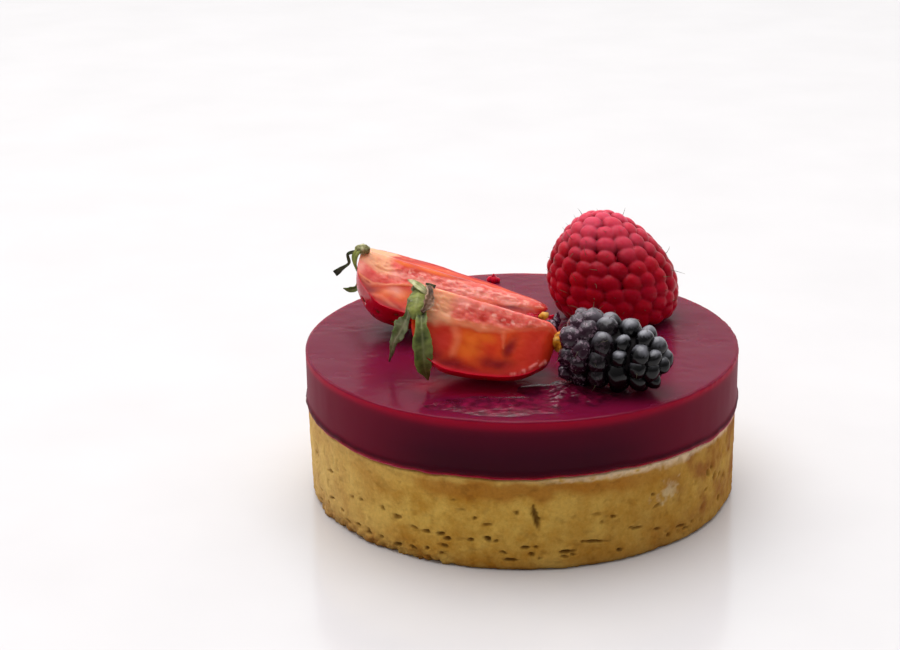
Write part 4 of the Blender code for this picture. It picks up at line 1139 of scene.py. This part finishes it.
def threads(name, roots, directions, lengths, thickness, material, seed):
    """Short curled threads as five-sided tubes of six rings that taper to their ends."""
    draw = np.random.default_rng(seed)
    count, rings, sides = len(roots), 6, 5
    t = np.linspace(0, 1, rings)[None, :, None]
    bend = draw.normal(0, 0.7, (count, 1, 3))
    line = roots[:, None] + lengths[:, None, None] * (directions[:, None] * t + bend * t ** 2)
    along = np.gradient(line, axis=1)
    along /= np.linalg.norm(along, axis=-1, keepdims=True)
    across = np.cross(along, (0.31, 0.52, 0.80))
    across /= np.linalg.norm(across, axis=-1, keepdims=True)
    third = np.cross(along, across)
    spin = np.linspace(0, 2 * math.pi, sides, endpoint=False)[:, None]
    spoke = across[:, :, None] * np.cos(spin) + third[:, :, None] * np.sin(spin)
    tubes = line[:, :, None] + spoke * thickness * (1 - 0.7 * t)[..., None]
    quads, index, _ = wrapped_quads(rings, sides)
    faces = quads.tolist() + [index[0][::-1].tolist(), index[-1].tolist()]
    return joined(name, tubes.reshape(count, rings * sides, 3), faces, material)


# Dried flower styles: thin olive-brown threads.
dry_style = plain_material("dried_flower_style", {"Roughness": 0.7}, 500.0, 2.0,
                           ((0.3, "2A2A1A"), (0.7, "6A6440")))

draw = np.random.default_rng(53)
chosen = draw.permutation(len(places))[:STYLE_COUNT]
roots = set_down(places[chosen] - frames[chosen, 2] * 0.1 * MM, *raspberry_stand)
directions = frames[chosen, 2] @ raspberry_axes + draw.normal(0, 0.35, (len(chosen), 3))
keep = roots[:, 2] > STYLE_LOWEST
styles = threads("raspberry_styles", roots[keep], directions[keep],
                 draw.uniform(0.6, 1.5, keep.sum()) * MM, STYLE_RADIUS, dry_style, 54)
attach(styles, "root")

# --- Bramble ---------------------------------------------------------------------------------
# A ripe black bramble on its side: separate glossy drupelets round a soft core, shrunken and
# purple-brown at the stem end, where the torn core shows.
BRAMBLE_STEM = np.array((6.9, -21.6, 35.4)) * MM
BRAMBLE_TIP = np.array((26.2, -27.6, 33.1)) * MM
BRAMBLE_OUTLINE = ((0.3, 1.5), (0.6, 4.6), (1.8, 6.6), (4.2, 7.4), (7.0, 7.3), (10.5, 6.9),
                   (14.0, 6.4), (17.0, 5.6), (19.2, 4.0), (20.2, 1.8), (20.4, 0.0))
BRAMBLE_DRUPELET = np.array((2.4, 2.05, 2.5)) * MM
BRAMBLE_PITCHES = np.array((3.5, 4.5)) * MM
CORE_OUTLINE = ((-1.2, 0.3), (-1.1, 1.3), (-0.4, 1.9), (0.6, 2.4), (1.8, 4.2), (4.2, 5.4),
                (7.0, 5.3), (10.5, 4.9), (14.0, 4.4), (17.0, 3.2), (18.4, 1.2), (18.5, 0.2))
BALL_ROWS = 14
BALL_COLUMNS = 20
CORE_ROWS = 60
CORE_COLUMNS = 64
THREAD_RADIUS = 0.06 * MM
THREAD_LOWEST = 29.5 * MM

places, frames, sizes, shares = drupelet_sites(BRAMBLE_OUTLINE, *BRAMBLE_PITCHES, 8)
draw = np.random.default_rng(9)
sizes = sizes * draw.uniform(0.84, 1.12, len(sizes)) * (1 - 0.2 * (shares < 0.3))
radii = BRAMBLE_DRUPELET * sizes[:, None]
sink = radii[:, 2] + draw.uniform(-0.3, 0.9, len(sizes)) * MM
centres = places - frames[:, 2] * sink[:, None]
bramble_axes = aim(BRAMBLE_STEM, BRAMBLE_TIP)
lean = draw.normal(0, 0.22, (len(frames), 3))
turned = frames + np.cross(lean[:, None], frames)
turned /= np.linalg.norm(turned, axis=-1, keepdims=True)
columns = np.swapaxes(turned, 1, 2)
ball_points, ball_faces = balls(centres, columns, radii, BALL_ROWS, BALL_COLUMNS)
unit = (ball_points - centres[:, None]) / radii.mean(1)[:, None, None]
wrinkle = 0.16 * MM * cloud(ball_points + 3.0, 1.8 * MM, 55, 2)
shrunken = (1 - rise(shares, 0.22, 0.50))[:, None] * draw.uniform(0.45, 1.0, (len(shares), 1))
wrinkle += 0.34 * MM * shrunken * cloud(ball_points + 5.0, 0.9 * MM, 56, 3)
ball_points = ball_points + unit * wrinkle[..., None]
ball_points = BRAMBLE_STEM + ball_points @ bramble_axes
ball_points[..., 2] = np.maximum(ball_points[..., 2], floor_level)
dark = draw.uniform(0, 1, len(shares))[:, None] + 0 * wrinkle
# Painted highlight: grey on the upward-facing sides of the higher drupelets, less where shrunken.
painted_top_sheen = (rise((unit @ bramble_axes)[..., 2] + 0.3 * cloud(ball_points, 1.4 * MM, 59, 3), 0.48, 1.1)
         * rise(ball_points[..., 2], 0.032, 0.0368) * (1 - 0.75 * shrunken))

# Bramble skin: black and glossy, with a painted grey highlight on the drupelets' upper sides.
bramble_skin, tree, shader = finish_material("bramble_skin", {
    "Roughness": 0.17, "IOR": 1.42, "Specular IOR Level": 0.45})
film, black = grained(tree, 420.0, ((0.35, "020203"), (0.7, "09080A")), 4.0)
colour = tinted(tree, black, (("dark", "050204", 0.6), ("painted_top_sheen", "8C8B93", 0.85),
                              ("shrunken", "38162A", 0.85)))
# The stem end is flecked with dry pinkish grey film, in scraps a third of a millimetre wide.
place = add(tree, "TexCoord").outputs["Object"]
scraps = add(tree, "TexNoise", {"Vector": place, "Scale": 1100.0, "Detail": 2.0, "Roughness": 0.7})
scraps = add(tree, "MapRange", {"Value": scraps.outputs["Fac"], "From Min": 0.54,
                                "From Max": 0.64})
dry = add(tree, "Attribute", attribute_name="shrunken").outputs["Fac"]
scraps = add(tree, "Math", {0: scraps.outputs["Result"], 1: dry}, operation="MULTIPLY")
colour = add(tree, "Mix", {0: scraps.outputs["Value"], 6: colour, 7: linear("8E7482")},
             data_type="RGBA").outputs[2]
surface(tree, shader, colour, film, 0.2, 0.2 * MM)

bramble = joined("bramble_drupelets", ball_points, ball_faces, bramble_skin,
                 {"dark": dark, "painted_top_sheen": painted_top_sheen, "shrunken": shrunken + 0 * wrinkle})
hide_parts("bramble")
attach(bramble, "root")

# Core: nearly black among the drupelets, painted as shade in the gaps, and yellow-orange and
# fibrous at its torn end.
torn_core, tree, shader = finish_material("bramble_core", {
    "Roughness": 0.6, "Specular IOR Level": 0.1})
fibre, torn = grained(tree, 700.0, ((0.32, "8A4410"), (0.5, "C8801C"), (0.68, "E0B060")), 4.0)
surface(tree, shader, tinted(tree, torn, (("painted_gap_shade", "080305", 1.0),)), fibre, 0.8, 0.4 * MM)

start, out = turned_rays(CORE_OUTLINE, CORE_ROWS, CORE_COLUMNS, 0.0)
start = start + out * (0.35 * MM * cloud(start, 1.2 * MM, 57, 3))[..., None]
# Painted shade: the core is nearly black all along but its torn end.
painted_gap_shade = rise(start[..., 2], 0.4 * MM, 1.4 * MM)
core = closed_piece("bramble_core", BRAMBLE_STEM + start @ bramble_axes, torn_core,
                    {"painted_gap_shade": painted_gap_shade})
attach(core, "root")

chosen = np.flatnonzero((shares < 0.45) | (draw.uniform(0, 1, len(shares)) < 0.2))
roots = BRAMBLE_STEM + (centres[chosen] + frames[chosen, 2] * radii[chosen, 2:]) @ bramble_axes
directions = frames[chosen, 2] @ bramble_axes + draw.normal(0, 0.4, (len(chosen), 3))
keep = roots[:, 2] > THREAD_LOWEST
frayed = threads("bramble_styles", roots[keep], directions[keep],
                 draw.uniform(0.5, 1.3, keep.sum()) * MM, THREAD_RADIUS, dry_style, 58)
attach(frayed, "root")

# --- Scraps and juice ------------------------------------------------------------------------
# A scrap of raspberry stuck to the jelly at the back, crushed pulp where the bramble's stem
# end leans on the strawberry, and juice that has run from the fruit and set in low pools.
SCRAP_PLACE = np.array((-5.5, 33.9, JELLY_LEVEL)) * MM
SCRAP_LOWEST = 27.8 * MM
SCRAP_GRID = (8, 12)
POOL_COLUMNS = 220
POOL_ROWS = 74
POOL_RIM_ROWS = 9
BIT_COUNT = 16

scrap_offsets = np.array(((-0.75, 0.0, 0.30), (0.70, 0.1, 0.25), (0.0, -0.45, 0.40),
                          (0.1, 0.35, 0.55), (-0.05, 0.0, 1.00), (0.05, 0.05, 1.45))) * MM
scrap_sizes = np.array((0.72, 0.66, 0.74, 0.70, 0.48, 0.26))[:, None] * np.ones(3) * MM
frames = np.repeat(np.eye(3)[None], len(scrap_sizes), 0)
scrap_points, scrap_faces = balls(SCRAP_PLACE + scrap_offsets, frames, scrap_sizes,
                                   *SCRAP_GRID)
scrap_points += (0.12 * MM * cloud(scrap_points, 0.9 * MM, 13, 2))[..., None]
scrap_points[..., 2] = np.maximum(scrap_points[..., 2], SCRAP_LOWEST)
scrap = joined("raspberry_scrap", scrap_points, scrap_faces, raspberry_skin)
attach(scrap, "root")


def pool(centre, half_sizes, film, bumps, pile, seed):
    """Rows of points over a low pool on the jelly and back under it.

    The rim is an ellipse that wanders by a fifth. The height is film * (1 - r ** 4) plus
    bumps drawn out sideways, plus a heap in the middle, exp(-(r / 0.45) ** 2) high, all zero at
    the rim, which lies just under the jelly.
    """
    spin = np.linspace(0, 2 * math.pi, POOL_COLUMNS, endpoint=False)[None]
    circle = np.stack([np.cos(spin), np.sin(spin), 0 * spin], -1)
    rim = 1 + 0.22 * cloud(3 * circle, 1.7, seed, 3)
    near_rim = 1 - 0.1 * np.linspace(1, 0, POOL_RIM_ROWS + 1)[1:] ** 2
    share = np.append(np.linspace(0.01, 0.9, POOL_ROWS), near_rim)[:, None]
    flat = np.stack([share * rim * half_sizes[0] * np.cos(spin),
                     share * rim * half_sizes[1] * np.sin(spin), 0 * share * spin], -1) * MM
    flat += np.array(centre + (0,)) * MM
    brim = 1 - share ** 4
    drawn = flat * (0.55, 1.1, 1)
    lumps = 0.7 * cloud(drawn, 1.2 * MM, seed + 1, 2) + 0.5 * cloud(drawn, 0.7 * MM, seed + 2, 2)
    height = brim * (film + bumps * np.maximum(lumps, -0.8) * (1 - share ** 6)
                     + pile * np.exp(-(share / 0.45) ** 2) * (1 + 0.2 * lumps))
    above, below = flat.copy(), flat[::-6].copy()
    above[..., 2] = (JELLY_LEVEL - 0.25) * MM + np.maximum(height, 0.0) * MM
    below[..., 2] = (JELLY_LEVEL - 0.45) * MM
    return np.concatenate([above, below])


# Set fruit juice: clear dark crimson with a wet gloss; small bumps catch the light.
set_juice = plain_material("set_fruit_juice", {
    "Roughness": 0.2, "IOR": 1.4, "Specular IOR Level": 0.5,
    "Subsurface Weight": 0.5, "Subsurface Radius": (1.0, 0.12, 0.3), "Subsurface Scale": 0.003,
    "Sheen Weight": 0.04, "Sheen Roughness": 0.4, "Sheen Tint": linear("D8A0C4")},
    600.0, 4.0, ((0.36, "4A0620"), (0.66, "7A0E34")), 0.35, 0.4 * MM)

# Each pool: middle, half sizes, film, bumps and heap, all in millimetres, and its seed.
for name, *sizes in (("juice_pool_1", (8.6, -26.4), (9.0, 7.6), 0.38, 0.12, 1.2, 21),
                     ("juice_pool_2", (-4.0, -32.4), (14.0, 4.8), 0.34, 0.05, 0.0, 26)):
    juice = closed_piece(name, pool(*sizes), set_juice)
    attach(juice, "root")

# Crushed bits between the two strawberry tips and the bramble: flesh of the raspberry, and
# purple skin and core of the bramble.
draw = np.random.default_rng(14)
bit_places = np.array((4.8, -0.8, 31.0)) + draw.normal(0, 1, (BIT_COUNT, 3)) * (1.1, 1.2, 0.7)
bit_places[:, 2] = np.clip(bit_places[:, 2], 28.6, 32.6)
bit_sizes = draw.uniform(0.7, 1.4, (BIT_COUNT, 1)) * draw.uniform(0.7, 1.2, (BIT_COUNT, 3)) * MM
frames = np.repeat(np.eye(3)[None], BIT_COUNT, 0)
for name, chosen, material, fields, slot in (
        ("crushed_raspberry", slice(0, 8), raspberry_skin, {"crease_shade": 0.8}, "raspberry"),
        ("crushed_bramble_skin", slice(8, 15), bramble_skin, {"shrunken": 1.0}, "bramble"),
        ("crushed_bramble_core", slice(15, 16), torn_core, {}, "bramble")):
    bits, bit_faces = balls(bit_places[chosen] * MM, frames[chosen], bit_sizes[chosen],
                            *SCRAP_GRID)
    bits += (0.4 * MM * cloud(bits, 0.8 * MM, 15, 3))[..., None]
    bits = joined(name, bits, bit_faces, material,
                  {key: np.full(bits.shape[:2], value) for key, value in fields.items()})
    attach(bits, "root")
